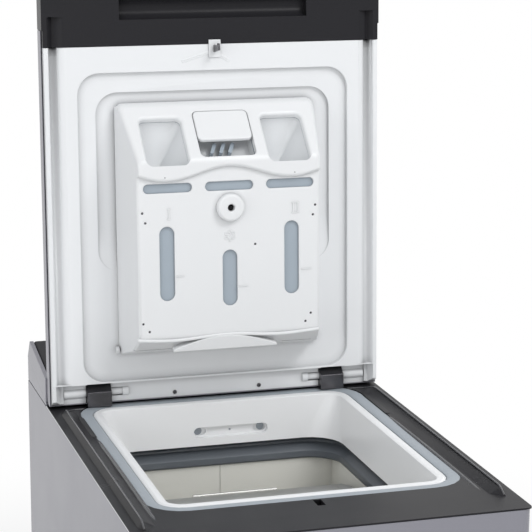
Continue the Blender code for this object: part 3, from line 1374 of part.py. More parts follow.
def program_knob():
    """Round programme knob with a ribbed grip and a shaft through the slab."""
    radius, height = KNOB_RADIUS, KNOB_HEIGHT
    shaft_low = -SLAB_WALL - BOARD_DROP + TOUCH
    profile = [(shaft_low, 0), (shaft_low, KNOB_SHAFT_RADIUS), (TOUCH, KNOB_SHAFT_RADIUS), (TOUCH, radius),
               (KNOB_SKIRT, radius), (KNOB_SKIRT * 1.4, radius * 0.86), (height * 0.9, radius * 0.8),
               (height, radius * 0.74), (height, 0)]
    knob = lathe(profile, "Z", (0, 0), 24)
    for i in range(KNOB_GRIP_COUNT):
        angle = 2 * pi * i / KNOB_GRIP_COUNT
        x, y = radius * 0.87 * cos(angle), radius * 0.87 * sin(angle)
        cut(knob, cylinder("Z", (x, y), KNOB_SKIRT * 1.8, height + OVERRUN, KNOB_GRIP_RADIUS, 8))
    y, z = on_slab(0)
    turned(knob, slab_turn(KNOB_X))
    empty = pivot("program_knob_turn", (KNOB_X, y, z))
    piece(knob, "program_knob", dark_plastic(), empty, (KNOB_X, y, z))


def console_buttons():
    """Push buttons that stand just proud of the slab and rest over their switches."""
    y, z = on_slab(0)
    for name, x in button_places():
        outline = rounded_outline(-BUTTON_LENGTH / 2, BUTTON_LENGTH / 2, -BUTTON_WIDTH / 2, BUTTON_WIDTH / 2,
                                  BUTTON_WIDTH / 4, 3)
        cap = prism(outline, "Z", -SLAB_WALL, BUTTON_PROUD)
        turned(cap, slab_turn(x))
        empty = pivot(f"{name}_slide", (x, y, z))
        piece(cap, name, silver_paint(), empty, (x, y, z))


def door_lock():
    """Lock housing under the top frame with the slot that takes the lid's hook."""
    y = HINGE_Y - HOOK_REACH
    top = SIDE_TOP + FRAME_LAND - FRAME_WALL - TOUCH
    housing = block((-LOCK_HALF_WIDTH, y - LOCK_LENGTH / 2, top - LOCK_HEIGHT),
                    (LOCK_HALF_WIDTH, y + LOCK_LENGTH / 2, top))
    margin = GASKET_WIDTH + FRAME_WALL + 2 * TOUCH
    front_of_seat = -WELL_FRONT - margin
    cut(housing, block((-LOCK_HALF_WIDTH - OVERRUN, front_of_seat, top - LOCK_HEIGHT - OVERRUN),
                       (LOCK_HALF_WIDTH + OVERRUN, y + LOCK_LENGTH, top + OVERRUN)))
    cut(housing, block((-LOCK_SLOT_WIDTH / 2, y - LOCK_SLOT_LENGTH / 2, top - LOCK_HEIGHT + OVERRUN),
                       (LOCK_SLOT_WIDTH / 2, y + LOCK_SLOT_LENGTH, top + OVERRUN)))
    piece(housing, "door_lock", black_plastic())


def inlet_valve():
    """Water inlet valve: spigot through the rear panel, body and coil inside."""
    inside = HALF_DEPTH - 2 * TOUCH - 2 * SHEET
    body = cylinder("Y", (VALVE_X, VALVE_Z), inside - VALVE_BODY_DEPTH / 2, HALF_DEPTH + VALVE_PROUD,
                    VALVE_RADIUS)
    half = VALVE_BODY / 2
    rear = inside - TOUCH
    fuse(body, block((VALVE_X - half, rear - VALVE_BODY_DEPTH, VALVE_Z - half),
                     (VALVE_X + half, rear, VALVE_Z + half)))
    fuse(body, cylinder("Z", (VALVE_X, rear - VALVE_BODY_DEPTH / 2), VALVE_Z,
                        VALVE_Z + half + VALVE_COIL_HEIGHT,
                        VALVE_COIL_RADIUS))
    cut(body, cylinder("Y", (VALVE_X, VALVE_Z), HALF_DEPTH - VALVE_BODY_DEPTH / 4,
                       HALF_DEPTH + VALVE_PROUD + OVERRUN,
                       VALVE_RADIUS * 0.7))
    piece(body, "inlet_valve", white_plastic())


# Tub assembly, on an empty that floats up and down


def tub_outer(side, grow):
    """Cylinder, neck and sump of one tub half, grown outward by a wall thickness."""
    reach = TUB_HALF_LENGTH + grow
    radius = TUB_RADIUS + grow
    seam = -side * OVERRUN * (0 if grow else 1)
    ends = sorted((seam, side * reach))
    solid = cylinder("X", (AXIS_Y, AXIS_Z), ends[0], ends[1], radius, TUB_SEGMENTS)
    neck_top = SIDE_TOP - NECK_TOP + (0 if grow else OVERRUN)
    fuse(solid, block((ends[0], -THROAT_FRONT - NECK_GAP - grow, AXIS_Z),
                      (ends[1], THROAT_REAR + NECK_GAP + grow, neck_top)))
    sump = sorted((seam, side * (SUMP_HALF_LENGTH + grow)))
    bottom = AXIS_Z - TUB_RADIUS - SUMP_DEPTH - grow
    fuse(solid, block((sump[0], SUMP_FRONT - grow, bottom),
                      (sump[1], SUMP_REAR + grow, AXIS_Z - TUB_RADIUS / 2)))
    return solid


def tub_half(label, side, tub):
    """One moulded tub half with its neck, sump, seam flange, bearing hub and spring lugs."""
    wall = TUB_WALL
    half = tub_outer(side, wall)
    seam = sorted((0, side * TUB_SEAM_WIDTH))
    low, high = TUB_RADIUS + wall / 2, TUB_RADIUS + wall + TUB_SEAM
    flange = lathe([(seam[0], low), (seam[0], high), (seam[1], high), (seam[1], low)], "X", (AXIS_Y, AXIS_Z),
                   TUB_SEGMENTS)
    neck_low = THROAT_FRONT + NECK_GAP
    cut(flange, block((seam[0] - OVERRUN, -neck_low, AXIS_Z),
                      (seam[1] + OVERRUN, THROAT_REAR + NECK_GAP, AXIS_Z + TUB_RADIUS * 2)))
    cut(flange, block((seam[0] - OVERRUN, SUMP_FRONT, AXIS_Z - TUB_RADIUS * 2),
                      (seam[1] + OVERRUN, SUMP_REAR, AXIS_Z)))
    fuse(half, flange)
    hub = sorted((side * (TUB_HALF_LENGTH + wall / 2), side * (TUB_HALF_LENGTH + HUB_LENGTH)))
    fuse(half, cylinder("X", (AXIS_Y, AXIS_Z), hub[0], hub[1], HUB_RADIUS, 32))
    outer_face = side * (TUB_HALF_LENGTH + wall / 2)
    rib_out = side * (TUB_HALF_LENGTH + wall + TUB_RIB_HEIGHT)
    for i in range(TUB_RIB_COUNT):
        angle = 360 * (i + 0.5) / TUB_RIB_COUNT
        root = outer_face - side * wall / 4
        rib = block((min(root, rib_out), HUB_RADIUS * 0.9, -TUB_RIB_THICKNESS / 2),
                    (max(root, rib_out), TUB_RADIUS * 0.86, TUB_RIB_THICKNESS / 2))
        turned(rib, Matrix.Translation((0, AXIS_Y, AXIS_Z)) @ Matrix.Rotation(radians(angle), 4, "X"))
        fuse(half, rib)
    for _, x, y, place_side in spring_places():
        if place_side == side:
            ends = sorted((outer_face, x + side * SPRING_BRACKET_WIDTH / 2))
            top = SIDE_TOP - TUB_LUG_DROP
            fuse(half, block((ends[0], y - SPRING_BRACKET_WIDTH / 2, top - TUB_LUG_THICKNESS),
                             (ends[1], y + SPRING_BRACKET_WIDTH / 2, top)))
    if side > 0:
        spigot_low = AXIS_Z - TUB_RADIUS - SUMP_DEPTH - wall - SPIGOT_LENGTH
        fuse(half, cylinder("Z", (SPIGOT_X, SPIGOT_Y), spigot_low,
                            AXIS_Z - TUB_RADIUS - SUMP_DEPTH - wall / 2, SPIGOT_RADIUS))
    cut(half, tub_outer(side, 0))
    cut(half, block((min(0, -side * OVERRUN * 3), -HALF_DEPTH, 0),
                    (max(0, -side * OVERRUN * 3), HALF_DEPTH, SIDE_TOP)))
    cut(half, block((-HALF_WIDTH, -HALF_DEPTH, SIDE_TOP - NECK_TOP), (HALF_WIDTH, HALF_DEPTH, SIDE_TOP)))
    cut(half, cylinder("X", (AXIS_Y, AXIS_Z), -HALF_WIDTH, HALF_WIDTH, SHAFT_RADIUS + TOUCH, 32))
    if side > 0:
        cut(half, cylinder("Z", (SPIGOT_X, SPIGOT_Y), spigot_low - OVERRUN, AXIS_Z - TUB_RADIUS, SPIGOT_BORE))
        cut(half, heater_plug(RUNNING_GAP, SUMP_FRONT - wall - OVERRUN, SUMP_FRONT + OVERRUN))
    half_gap = TOUCH / 2
    turned(half, Matrix.Translation((side * half_gap, 0, 0)))
    piece(half, f"tub_half_{label}", tub_plastic(), tub, (0, AXIS_Y, AXIS_Z))


def heater_height():
    return AXIS_Z - TUB_RADIUS - SUMP_DEPTH / 2


def heater_plug(grow, low, high):
    """Oval plug of the heating element's flange, or the hole for it."""
    z = heater_height()
    length = HEATER_FLANGE_LENGTH / 2 - DAMPER_PAD + grow
    height = HEATER_FLANGE_HEIGHT / 2 - HEATER_TUBE / 2 + grow
    return prism(rounded_outline(HEATER_X - length, HEATER_X + length, z - height, z + height, height * 0.95,
                                 5),
                 "Y", low, high)


def heater(tub):
    """Heating element: a U-shaped tube in the sump on an oval flange."""
    z = heater_height()
    front, rear = SUMP_FRONT - TUB_WALL - TOUCH, SUMP_REAR - HEATER_SPREAD * 2
    curve = bpy.data.curves.new("heater_path", "CURVE")
    curve.dimensions = "3D"
    bend = arc((HEATER_X, rear), HEATER_SPREAD, 0, 180, 8)
    route = [(HEATER_X + HEATER_SPREAD, front)] + bend + [(HEATER_X - HEATER_SPREAD, front)]
    spline = curve.splines.new("POLY")
    spline.points.add(len(route) - 1)
    for point, (x, y) in zip(spline.points, route):
        point.co = (x, y, z, 1)
    curve.bevel_depth = HEATER_TUBE
    curve.bevel_resolution = 2
    curve.use_fill_caps = True
    tube = bpy.data.objects.new("heater_tube", curve)
    bpy.context.scene.collection.objects.link(tube)
    element = mesh_object(tube)
    length, height = HEATER_FLANGE_LENGTH / 2, HEATER_FLANGE_HEIGHT / 2
    flange = prism(rounded_outline(HEATER_X - length, HEATER_X + length, z - height, z + height,
                                   height * 0.95, 5),
                   "Y", front - HEATER_FLANGE_THICKNESS, front)
    solid = fuse(heater_plug(0, front - HEATER_FLANGE_THICKNESS / 2, SUMP_FRONT), flange)
    fuse(solid, element)
    piece(solid, "heater", bright_steel(), tub, (0, AXIS_Y, AXIS_Z))


def mesh_object(curve_object):
    """Turn a curve object into a closed mesh object."""
    depsgraph = bpy.context.evaluated_depsgraph_get()
    mesh = bpy.data.meshes.new_from_object(curve_object.evaluated_get(depsgraph))
    bpy.data.objects.remove(curve_object, do_unlink=True)
    bm = bmesh.new()
    bm.from_mesh(mesh)
    bmesh.ops.remove_doubles(bm, verts=bm.verts, dist=TOUCH / 10)
    return solid_from(bm)


def counterweight(tub):
    """Cast block that follows the tub's front."""
    inner, outer = TUB_RADIUS + TUB_WALL + TOUCH, TUB_RADIUS + TUB_WALL + WEIGHT_THICKNESS
    low, high = 180 - WEIGHT_HALF_ANGLE, 180 + WEIGHT_HALF_ANGLE
    centre = (AXIS_Y, AXIS_Z)
    outline = arc(centre, inner, low, high, WEIGHT_STEPS) + arc(centre, outer, high, low, WEIGHT_STEPS)
    weight = prism(outline, "X", -WEIGHT_HALF_LENGTH, WEIGHT_HALF_LENGTH)
    groove = TUB_SEAM_WIDTH + RUNNING_GAP
    ring = lathe([(-groove, TUB_RADIUS), (-groove, inner + TUB_SEAM + RUNNING_GAP),
                  (groove, inner + TUB_SEAM + RUNNING_GAP),
                  (groove, TUB_RADIUS)], "X", centre, TUB_SEGMENTS)
    cut(weight, ring)
    piece(weight, "counterweight", cast_iron(), tub, (0, AXIS_Y, AXIS_Z))


def belt_loop(radius_big, radius_small):
    """Closed outline of a belt run round the two pulleys at given radii, as (y, z)."""
    dy, dz = MOTOR_Y - AXIS_Y, MOTOR_Z - AXIS_Z
    distance = sqrt(dy * dy + dz * dz)
    heading = atan2(dz, dy) * 180 / pi
    lean = acos((radius_big - radius_small) / distance) * 180 / pi
    big = arc((AXIS_Y, AXIS_Z), radius_big, heading + lean, heading + 360 - lean, 30)
    small = arc((MOTOR_Y, MOTOR_Z), radius_small, heading - lean, heading + lean, 8)
    return big + small


def drive_belt(tub):
    """Flat belt from the motor pulley to the drum pulley."""
    middle = PULLEY_OFFSET + PULLEY_WIDTH / 2
    low, high = middle - BELT_WIDTH / 2, middle + BELT_WIDTH / 2
    inner = belt_loop(PULLEY_RADIUS + TOUCH * 2, MOTOR_PULLEY_RADIUS + TOUCH)
    outer = belt_loop(PULLEY_RADIUS + TOUCH + BELT_THICKNESS, MOTOR_PULLEY_RADIUS + TOUCH + BELT_THICKNESS)
    loops = []
    for x, outline in ((low, inner), (low, outer), (high, outer), (high, inner)):
        loops.append([Vector((x, y, z)) for y, z in outline])
    piece(ring_solid(loops), "drive_belt", black_plastic(), tub, (0, AXIS_Y, AXIS_Z))


def motor_body(tub):
    """Motor housing on an arm under the tub, with cooling slots and a bore for its shaft."""
    front = PULLEY_OFFSET - RUNNING_GAP * 4
    rear = front - MOTOR_LENGTH
    nose = MOTOR_RADIUS * 0.45
    profile = [(rear, 0), (rear, MOTOR_RADIUS * 0.7), (rear + nose / 2, MOTOR_RADIUS),
               (front - nose / 2, MOTOR_RADIUS),
               (front - MOTOR_NOSE, nose), (front, nose), (front, 0)]
    body = lathe(profile, "X", (MOTOR_Y, MOTOR_Z), MOTOR_SEGMENTS)
    dy, dz = AXIS_Y - MOTOR_Y, AXIS_Z - MOTOR_Z
    distance = sqrt(dy * dy + dz * dz)
    reach = distance - TUB_RADIUS - TUB_WALL - TOUCH * 4
    middle = (rear + front) / 2
    arm = block((middle - MOTOR_ARM_HALF_LENGTH, -MOTOR_ARM_WIDTH / 2, 0),
                (middle + MOTOR_ARM_HALF_LENGTH, MOTOR_ARM_WIDTH / 2, reach))
    turn = Matrix.Translation((0, MOTOR_Y, MOTOR_Z)) @ Matrix.Rotation(-atan2(dy, dz), 4, "X")
    fuse(body, turned(arm, turn))
    cut(body, cylinder("X", (MOTOR_Y, MOTOR_Z), front - MOTOR_BORE_DEPTH, front + OVERRUN,
                       MOTOR_SHAFT + TOUCH, 24))
    room_high = front - MOTOR_BORE_DEPTH * 0.8
    cut(body, cylinder("X", (MOTOR_Y, MOTOR_Z), room_high - ROTOR_LENGTH, room_high, ROTOR_RADIUS,
                       MOTOR_SEGMENTS))
    piece(body, "motor_body", dark_steel(), tub, (0, AXIS_Y, AXIS_Z))


def motor_turning_parts(tub):
    """Rotor and shaft inside the motor, and the small pulley on the shaft's end."""
    low, high = PULLEY_OFFSET - RUNNING_GAP, PULLEY_OFFSET + PULLEY_WIDTH
    rotor_high = PULLEY_OFFSET - RUNNING_GAP * 5 - MOTOR_BORE_DEPTH * 0.8
    rotor_low = rotor_high + RUNNING_GAP * 2 - ROTOR_LENGTH
    edge = MOTOR_PULLEY_RADIUS
    bore = MOTOR_SHAFT + TOUCH
    empty = pivot("motor_turn", Vector((0, MOTOR_Y - AXIS_Y, MOTOR_Z - AXIS_Z)), tub)
    pulley = lathe([(low, bore), (low, edge), (high, edge), (high, bore)], "X", (MOTOR_Y, MOTOR_Z), 20)
    piece(pulley, "motor_pulley", bright_steel(), empty, (0, MOTOR_Y, MOTOR_Z))
    rotor_edge = ROTOR_RADIUS - RUNNING_GAP * 2
    profile = [(rotor_low, 0), (rotor_low, rotor_edge), (rotor_high, rotor_edge), (rotor_high, MOTOR_SHAFT),
               (high, MOTOR_SHAFT), (high, 0)]
    rotor = lathe(profile, "X", (MOTOR_Y, MOTOR_Z), 20)
    piece(rotor, "rotor_shaft", bright_steel(), empty, (0, MOTOR_Y, MOTOR_Z))


def damper_places():
    for label, end in (("front", -1), ("rear", 1)):
        yield label, -DAMPER_X, AXIS_Y + end * DAMPER_SPREAD


def dampers(tub):
    """Friction dampers: cylinders on the base and rods that hang from the tub."""
    floor = PANEL_BOTTOM + BASE_FLOOR + TOUCH
    for label, x, y in damper_places():
        top = floor + DAMPER_HEIGHT
        sleeve = lathe([(floor, 0), (floor, DAMPER_RADIUS * 1.5), (floor + DAMPER_PAD, DAMPER_RADIUS * 1.5),
                        (floor + DAMPER_PAD, DAMPER_RADIUS), (top, DAMPER_RADIUS), (top, DAMPER_BORE),
                        (floor + DAMPER_PAD * 2, DAMPER_BORE), (floor + DAMPER_PAD * 2, 0)], "Z", (x, y), 16)
        piece(sleeve, f"damper_cylinder_{label}", black_plastic())
        rod_low = top - DAMPER_OVERLAP
        edge = abs(y - AXIS_Y) - DAMPER_RADIUS
        seat = TUB_RADIUS + TUB_WALL + TOUCH
        rod_top = AXIS_Z - sqrt(seat ** 2 - edge ** 2) + DAMPER_PAD * 3
        rod = lathe([(rod_low, 0), (rod_low, DAMPER_ROD_RADIUS),
                     (rod_top - DAMPER_PAD * 4, DAMPER_ROD_RADIUS),
                     (rod_top - DAMPER_PAD * 3, DAMPER_RADIUS), (rod_top + DAMPER_PAD * 3, DAMPER_RADIUS),
                     (rod_top + DAMPER_PAD * 3, 0)], "Z", (x, y), 20)
        cut(rod, cylinder("X", (AXIS_Y, AXIS_Z), -HALF_WIDTH, HALF_WIDTH, seat, TUB_SEGMENTS))
        piece(rod, f"damper_rod_{label}", bright_steel(), tub, (0, AXIS_Y, AXIS_Z))


def spring_route(low, high):
    """Points of a helical spring with short straight ends on its axis."""
    coil_low, coil_high = low + SPRING_END, high - SPRING_END
    count = SPRING_TURNS * SPRING_POINTS_PER_TURN
    points = [(0, 0, low), (0, 0, low + SPRING_END / 2)]
    for i in range(count + 1):
        angle = 2 * pi * i / SPRING_POINTS_PER_TURN
        points.append((SPRING_RADIUS * cos(angle), SPRING_RADIUS * sin(angle),
                       coil_low + (coil_high - coil_low) * i / count))
    return points + [(0, 0, high - SPRING_END / 2), (0, 0, high)]


def suspension_springs():
    """Four springs between the cabinet's brackets and the tub's lugs."""
    low = SIDE_TOP - TUB_LUG_DROP + TOUCH
    high = SIDE_TOP - SPRING_BRACKET_DROP - TOUCH
    pitch = (high - low - 2 * SPRING_END) / SPRING_TURNS
    print("spring: least gap between turns", round(pitch - 2 * SPRING_WIRE, 5), "m")
    for label, x, y, _ in spring_places():
        curve = bpy.data.curves.new(f"spring_{label}", "CURVE")
        curve.dimensions = "3D"
        route = spring_route(low, high)
        spline = curve.splines.new("POLY")
        spline.points.add(len(route) - 1)
        for point, (px, py, pz) in zip(spline.points, route):
            point.co = (px, py, pz - low, 1)
        curve.bevel_depth = SPRING_WIRE
        curve.bevel_resolution = 1
        curve.use_fill_caps = True
        holder = bpy.data.objects.new("spring_path", curve)
        bpy.context.scene.collection.objects.link(holder)
        spring = turned(mesh_object(holder), Matrix.Translation((x, y, low)))
        piece(spring, f"spring_{label}", bright_steel())


# Drum, on an empty on the shaft's axis


def drum_point(radius, angle):
    """Point at an angle from straight up towards the rear, as (y, z)."""
    return AXIS_Y + radius * sin(radians(angle)), AXIS_Z + radius * cos(radians(angle))


def drum_sector(inner, outer, start, end, steps, half_length):
    outline = [drum_point(outer, start + (end - start) * i / steps) for i in range(steps + 1)]
    outline += [drum_point(inner, end + (start - end) * i / steps) for i in range(steps + 1)]
    return prism(outline, "X", -half_length, half_length)


def drum_shell(drum):
    """Steel drum skin with its door opening and three lifters inside."""
    inner, outer = DRUM_RADIUS - DRUM_SHEET, DRUM_RADIUS
    half = DRUM_HALF_LENGTH
    skin = lathe([(-half, inner), (-half, outer), (half, outer), (half, inner)], "X", (AXIS_Y, AXIS_Z),
                 TUB_SEGMENTS)
    for i in range(LIFTER_COUNT):
        angle = 180 + (i - 1) * 360 / (LIFTER_COUNT + 0.9)
        base = inner + DRUM_SHEET / 2
        top = inner - LIFTER_HEIGHT
        outline = [(-LIFTER_HALF_BASE, sqrt(base * base - LIFTER_HALF_BASE ** 2)),
                   (LIFTER_HALF_BASE, sqrt(base * base - LIFTER_HALF_BASE ** 2)),
                   (LIFTER_HALF_TOP, top), (-LIFTER_HALF_TOP, top)]
        lifter = prism(outline, "X", -LIFTER_HALF_LENGTH, LIFTER_HALF_LENGTH)
        turn = Matrix.Translation((0, AXIS_Y, AXIS_Z)) @ Matrix.Rotation(radians(-angle), 4, "X")
        fuse(skin, turned(lifter, turn))
    gap_angle = DRUM_DOOR_GAP / DRUM_RADIUS * 180 / pi
    cut(skin, drum_sector(inner - OVERRUN, outer + OVERRUN, -DRUM_DOOR_HALF_ANGLE - gap_angle,
                          DRUM_DOOR_HALF_ANGLE + gap_angle, DRUM_DOOR_STEPS * 2,
                          DRUM_DOOR_HALF_LENGTH + DRUM_DOOR_GAP))
    piece(skin, "drum_shell", bright_steel(), drum, (0, AXIS_Y, AXIS_Z))


def drum_end(label, side, drum):
    """Dished drum end with a rim flange, a hub and a stub shaft."""
    rim = DRUM_RADIUS - DRUM_SHEET - TOUCH * 2
    sheet = DRUM_SHEET
    face = DRUM_HALF_LENGTH
    hub = HUB_RADIUS
    shaft_end = TUB_HALF_LENGTH + HUB_LENGTH - RUNNING_GAP
    if side > 0:
        shaft_end = PULLEY_OFFSET + PULLEY_WIDTH
    dish = face - DRUM_END_DISH
    profile = [(face - DRUM_END_FLANGE, rim - sheet), (face - DRUM_END_FLANGE, rim), (face, rim),
               (face, rim * 0.88), (dish + sheet, rim * 0.80), (dish + sheet, hub * 1.3), (face + sheet, hub),
               (face + sheet, SHAFT_RADIUS), (shaft_end, SHAFT_RADIUS), (shaft_end, 0), (face - sheet, 0),
               (face - sheet, hub * 0.88), (dish - sheet / 2, hub * 1.18), (dish - sheet / 2, rim * 0.81),
               (face - sheet, rim * 0.89), (face - sheet, rim - sheet)]
    end = lathe([(side * along, radius) for along, radius in profile], "X", (AXIS_Y, AXIS_Z), TUB_SEGMENTS)
    piece(end, f"drum_end_{label}", bright_steel(), drum, (0, AXIS_Y, AXIS_Z))


def drum_pulley(drum):
    """Large belt pulley on the right end of the shaft, with round openings in its web."""
    low, high = PULLEY_OFFSET, PULLEY_OFFSET + PULLEY_WIDTH
    middle = (low + high) / 2
    bore = SHAFT_RADIUS + TOUCH
    web = PULLEY_WEB / 2
    rim = PULLEY_RADIUS - PULLEY_WEB
    profile = [(low, bore), (low, PULLEY_HUB), (middle - web, PULLEY_HUB * 1.2), (middle - web, rim),
               (low, rim),
               (low, PULLEY_RADIUS), (high, PULLEY_RADIUS), (high, rim), (middle + web, rim),
               (middle + web, PULLEY_HUB * 1.2), (high, PULLEY_HUB), (high, bore)]
    pulley = lathe(profile, "X", (AXIS_Y, AXIS_Z), 32)
    for i in range(PULLEY_HOLES):
        y, z = drum_point(PULLEY_HOLE_CIRCLE, 360 * i / PULLEY_HOLES)
        cut(pulley, cylinder("X", (y, z), low - OVERRUN, high + OVERRUN, PULLEY_HOLE_RADIUS, 12))
    piece(pulley, "drum_pulley", zinc_steel(), drum, (0, AXIS_Y, AXIS_Z))


def drum_doors(drum):
    """Two curved door leaves, hinged at the front and rear edge of the drum's opening."""
    inner, outer = DRUM_RADIUS - DRUM_SHEET, DRUM_RADIUS
    gap_angle = DRUM_DOOR_GAP / 2 / DRUM_RADIUS * 180 / pi
    rod_inset = (DRUM_DOOR_ROD + DRUM_DOOR_GAP) / DRUM_RADIUS * 180 / pi
    for label, end in (("front", -1), ("rear", 1)):
        leaf = drum_sector(inner, outer, end * gap_angle, end * DRUM_DOOR_HALF_ANGLE, DRUM_DOOR_STEPS,
                           DRUM_DOOR_HALF_LENGTH)
        hinge = drum_point(DRUM_RADIUS + DRUM_DOOR_HINGE_RISE, end * (DRUM_DOOR_HALF_ANGLE - rod_inset))
        fuse(leaf, cylinder("X", hinge, -DRUM_DOOR_ROD_HALF_LENGTH, DRUM_DOOR_ROD_HALF_LENGTH, DRUM_DOOR_ROD,
                            12))
        if end < 0:
            cut(leaf, latch_block(TOUCH * 2, DRUM_SHEET * 3))
        local = Vector((0, hinge[0] - AXIS_Y, hinge[1] - AXIS_Z))
        empty = pivot(f"drum_door_{label}_hinge", local, drum)
        piece(leaf, f"drum_door_{label}", bright_steel(), empty, (0, *hinge))
        if end < 0:
            drum_latch(empty, hinge)


def latch_block(grow, height):
    """Rectangular body of the door latch, or the hole for it, square to the drum's skin."""
    middle = Matrix.Translation((0, AXIS_Y, AXIS_Z)) @ Matrix.Rotation(radians(LATCH_ANGLE), 4, "X")
    low = DRUM_RADIUS - DRUM_SHEET * 2 - (height if grow else 0)
    high = DRUM_RADIUS + (height if grow else LATCH_HEIGHT - DRUM_SHEET * 2)
    solid = block((-LATCH_LENGTH / 2 - grow, -LATCH_WIDTH / 2 - grow, low),
                  (LATCH_LENGTH / 2 + grow, LATCH_WIDTH / 2 + grow, high))
    return turned(solid, middle)


def drum_latch(leaf_pivot, hinge):
    """Press button that frees the door leaves."""
    y, z = drum_point(DRUM_RADIUS, -LATCH_ANGLE)
    local = Vector((0, y - hinge[0], z - hinge[1]))
    empty = pivot("drum_latch_slide", local, leaf_pivot)
    piece(latch_block(0, 0), "drum_latch", dark_plastic(), empty, (0, y, z))


# Pump, filter, flap and hose


def drain_pump():
    """Drain pump with filter housing, volute, motor, inlet spigot and a foot on the base."""
    centre = (PUMP_X, PUMP_Z)
    profile = [(FILTER_FRONT, FILTER_RADIUS + TOUCH), (FILTER_FRONT, FILTER_HOUSING_RADIUS),
               (PUMP_FRONT, FILTER_HOUSING_RADIUS),
               (PUMP_FRONT, PUMP_RADIUS), (PUMP_REAR, PUMP_RADIUS), (PUMP_REAR, PUMP_MOTOR_RADIUS),
               (PUMP_MOTOR_REAR, PUMP_MOTOR_RADIUS), (PUMP_MOTOR_REAR, 0),
               (FILTER_FRONT + FILTER_LENGTH + RUNNING_GAP, 0),
               (FILTER_FRONT + FILTER_LENGTH + RUNNING_GAP, FILTER_RADIUS + TOUCH)]
    pump = lathe(profile, "Y", centre, 24)
    floor = PANEL_BOTTOM + BASE_FLOOR + TOUCH
    fuse(pump, block((PUMP_X - PUMP_FOOT_HALF_WIDTH, PUMP_FRONT + OVERRUN, floor),
                     (PUMP_X + PUMP_FOOT_HALF_WIDTH, PUMP_REAR - OVERRUN, PUMP_Z - PUMP_RADIUS / 2)))
    y = (PUMP_FRONT + PUMP_REAR) / 2
    fuse(pump, cylinder("Z", (PUMP_X, y), PUMP_Z, PUMP_Z + PUMP_RADIUS + PUMP_INLET_LENGTH,
                        PUMP_INLET_RADIUS))
    piece(pump, "drain_pump", black_plastic())


def pump_filter():
    """Screw-in filter plug with a grip bar."""
    centre = (PUMP_X, PUMP_Z)
    front = FILTER_FRONT
    plug = lathe([(front - FILTER_KNOB, 0), (front - FILTER_KNOB, FILTER_HOUSING_RADIUS),
                  (front - TOUCH, FILTER_HOUSING_RADIUS),
                  (front - TOUCH, FILTER_RADIUS), (front + FILTER_LENGTH, FILTER_RADIUS),
                  (front + FILTER_LENGTH, 0)],
                 "Y", centre, 24)
    bar = block((PUMP_X - FILTER_RADIUS * 0.9, front - FILTER_KNOB - FILTER_GRIP_DEPTH,
                 PUMP_Z - FILTER_GRIP_THICKNESS / 2),
                (PUMP_X + FILTER_RADIUS * 0.9, front - FILTER_KNOB / 2, PUMP_Z + FILTER_GRIP_THICKNESS / 2))
    fuse(plug, bar)
    empty = pivot("pump_filter_turn", (PUMP_X, front, PUMP_Z))
    piece(plug, "pump_filter", white_plastic(), empty, (PUMP_X, front, PUMP_Z))


def filter_flap():
    """Small door in the front panel over the pump filter."""
    left = PUMP_X - FLAP_WIDTH / 2 + FLAP_GAP
    right = PUMP_X + FLAP_WIDTH / 2 - FLAP_GAP
    low, high = FLAP_BOTTOM + FLAP_GAP, FLAP_BOTTOM + FLAP_HEIGHT - FLAP_GAP
    front = -HALF_DEPTH
    flap = prism(rounded_outline(left, right, low, high, FLAP_THICKNESS, 3), "Y", front,
                 front + FLAP_THICKNESS)
    grip = prism(rounded_outline(PUMP_X - FLAP_GRIP_WIDTH / 2, PUMP_X + FLAP_GRIP_WIDTH / 2,
                                 high - FLAP_GRIP_HEIGHT * 2,
                                 high - FLAP_GRIP_HEIGHT, FLAP_GRIP_HEIGHT / 3, 3), "Y", front - OVERRUN,
                 front + FLAP_GRIP_DEPTH)
    cut(flap, grip)
    empty = pivot("filter_flap_hinge", (PUMP_X, front, low))
    piece(flap, "filter_flap", silver_paint(), empty, (PUMP_X, front, low))


def sump_hose():
    """Rubber hose from the tub's sump down to the pump's inlet."""
    start = Vector((SPIGOT_X, SPIGOT_Y, AXIS_Z - TUB_RADIUS - SUMP_DEPTH - TUB_WALL - SPIGOT_LENGTH - TOUCH))
    end = Vector((PUMP_X, (PUMP_FRONT + PUMP_REAR) / 2, PUMP_Z + PUMP_RADIUS + PUMP_INLET_LENGTH + TOUCH))
    drop = (start.z - end.z) * 0.75
    handle_start = start - Vector((0, 0, drop))
    handle_end = end + Vector((0, 0, drop))
    curve = bpy.data.curves.new("sump_hose_path", "CURVE")
    curve.dimensions = "3D"
    spline = curve.splines.new("POLY")
    straight = Vector((0, 0, HOSE_RADIUS / 2))
    upper, lower = start - straight, end + straight
    places = [start]
    for i in range(HOSE_STEPS + 1):
        t = i / HOSE_STEPS
        s = 1 - t
        places.append(upper * s ** 3 + handle_start * 3 * s * s * t + handle_end * 3 * s * t * t
                      + lower * t ** 3)
    places.append(end)
    spline.points.add(len(places) - 1)
    for point, place in zip(spline.points, places):
        point.co = (*place, 1)
    curve.bevel_depth = HOSE_RADIUS
    curve.bevel_resolution = 2
    curve.use_fill_caps = True
    holder = bpy.data.objects.new("sump_hose_path", curve)
    bpy.context.scene.collection.objects.link(holder)
    piece(mesh_object(holder), "sump_hose", black_plastic())


# Assembly


def build_cabinet():
    for label, side in SIDES:
        side_panel(label, side)
    front_panel()
    rear_panel()
    base_frame()
    front_feet()
    top_frame()
    lid_gasket()
    well_funnel()
    bellows()
    door_lock()
    inlet_valve()
    hinge_brackets()


def build_console():
    console_base()
    console_panel()
    console_ends()
    control_board()
    program_knob()
    console_buttons()


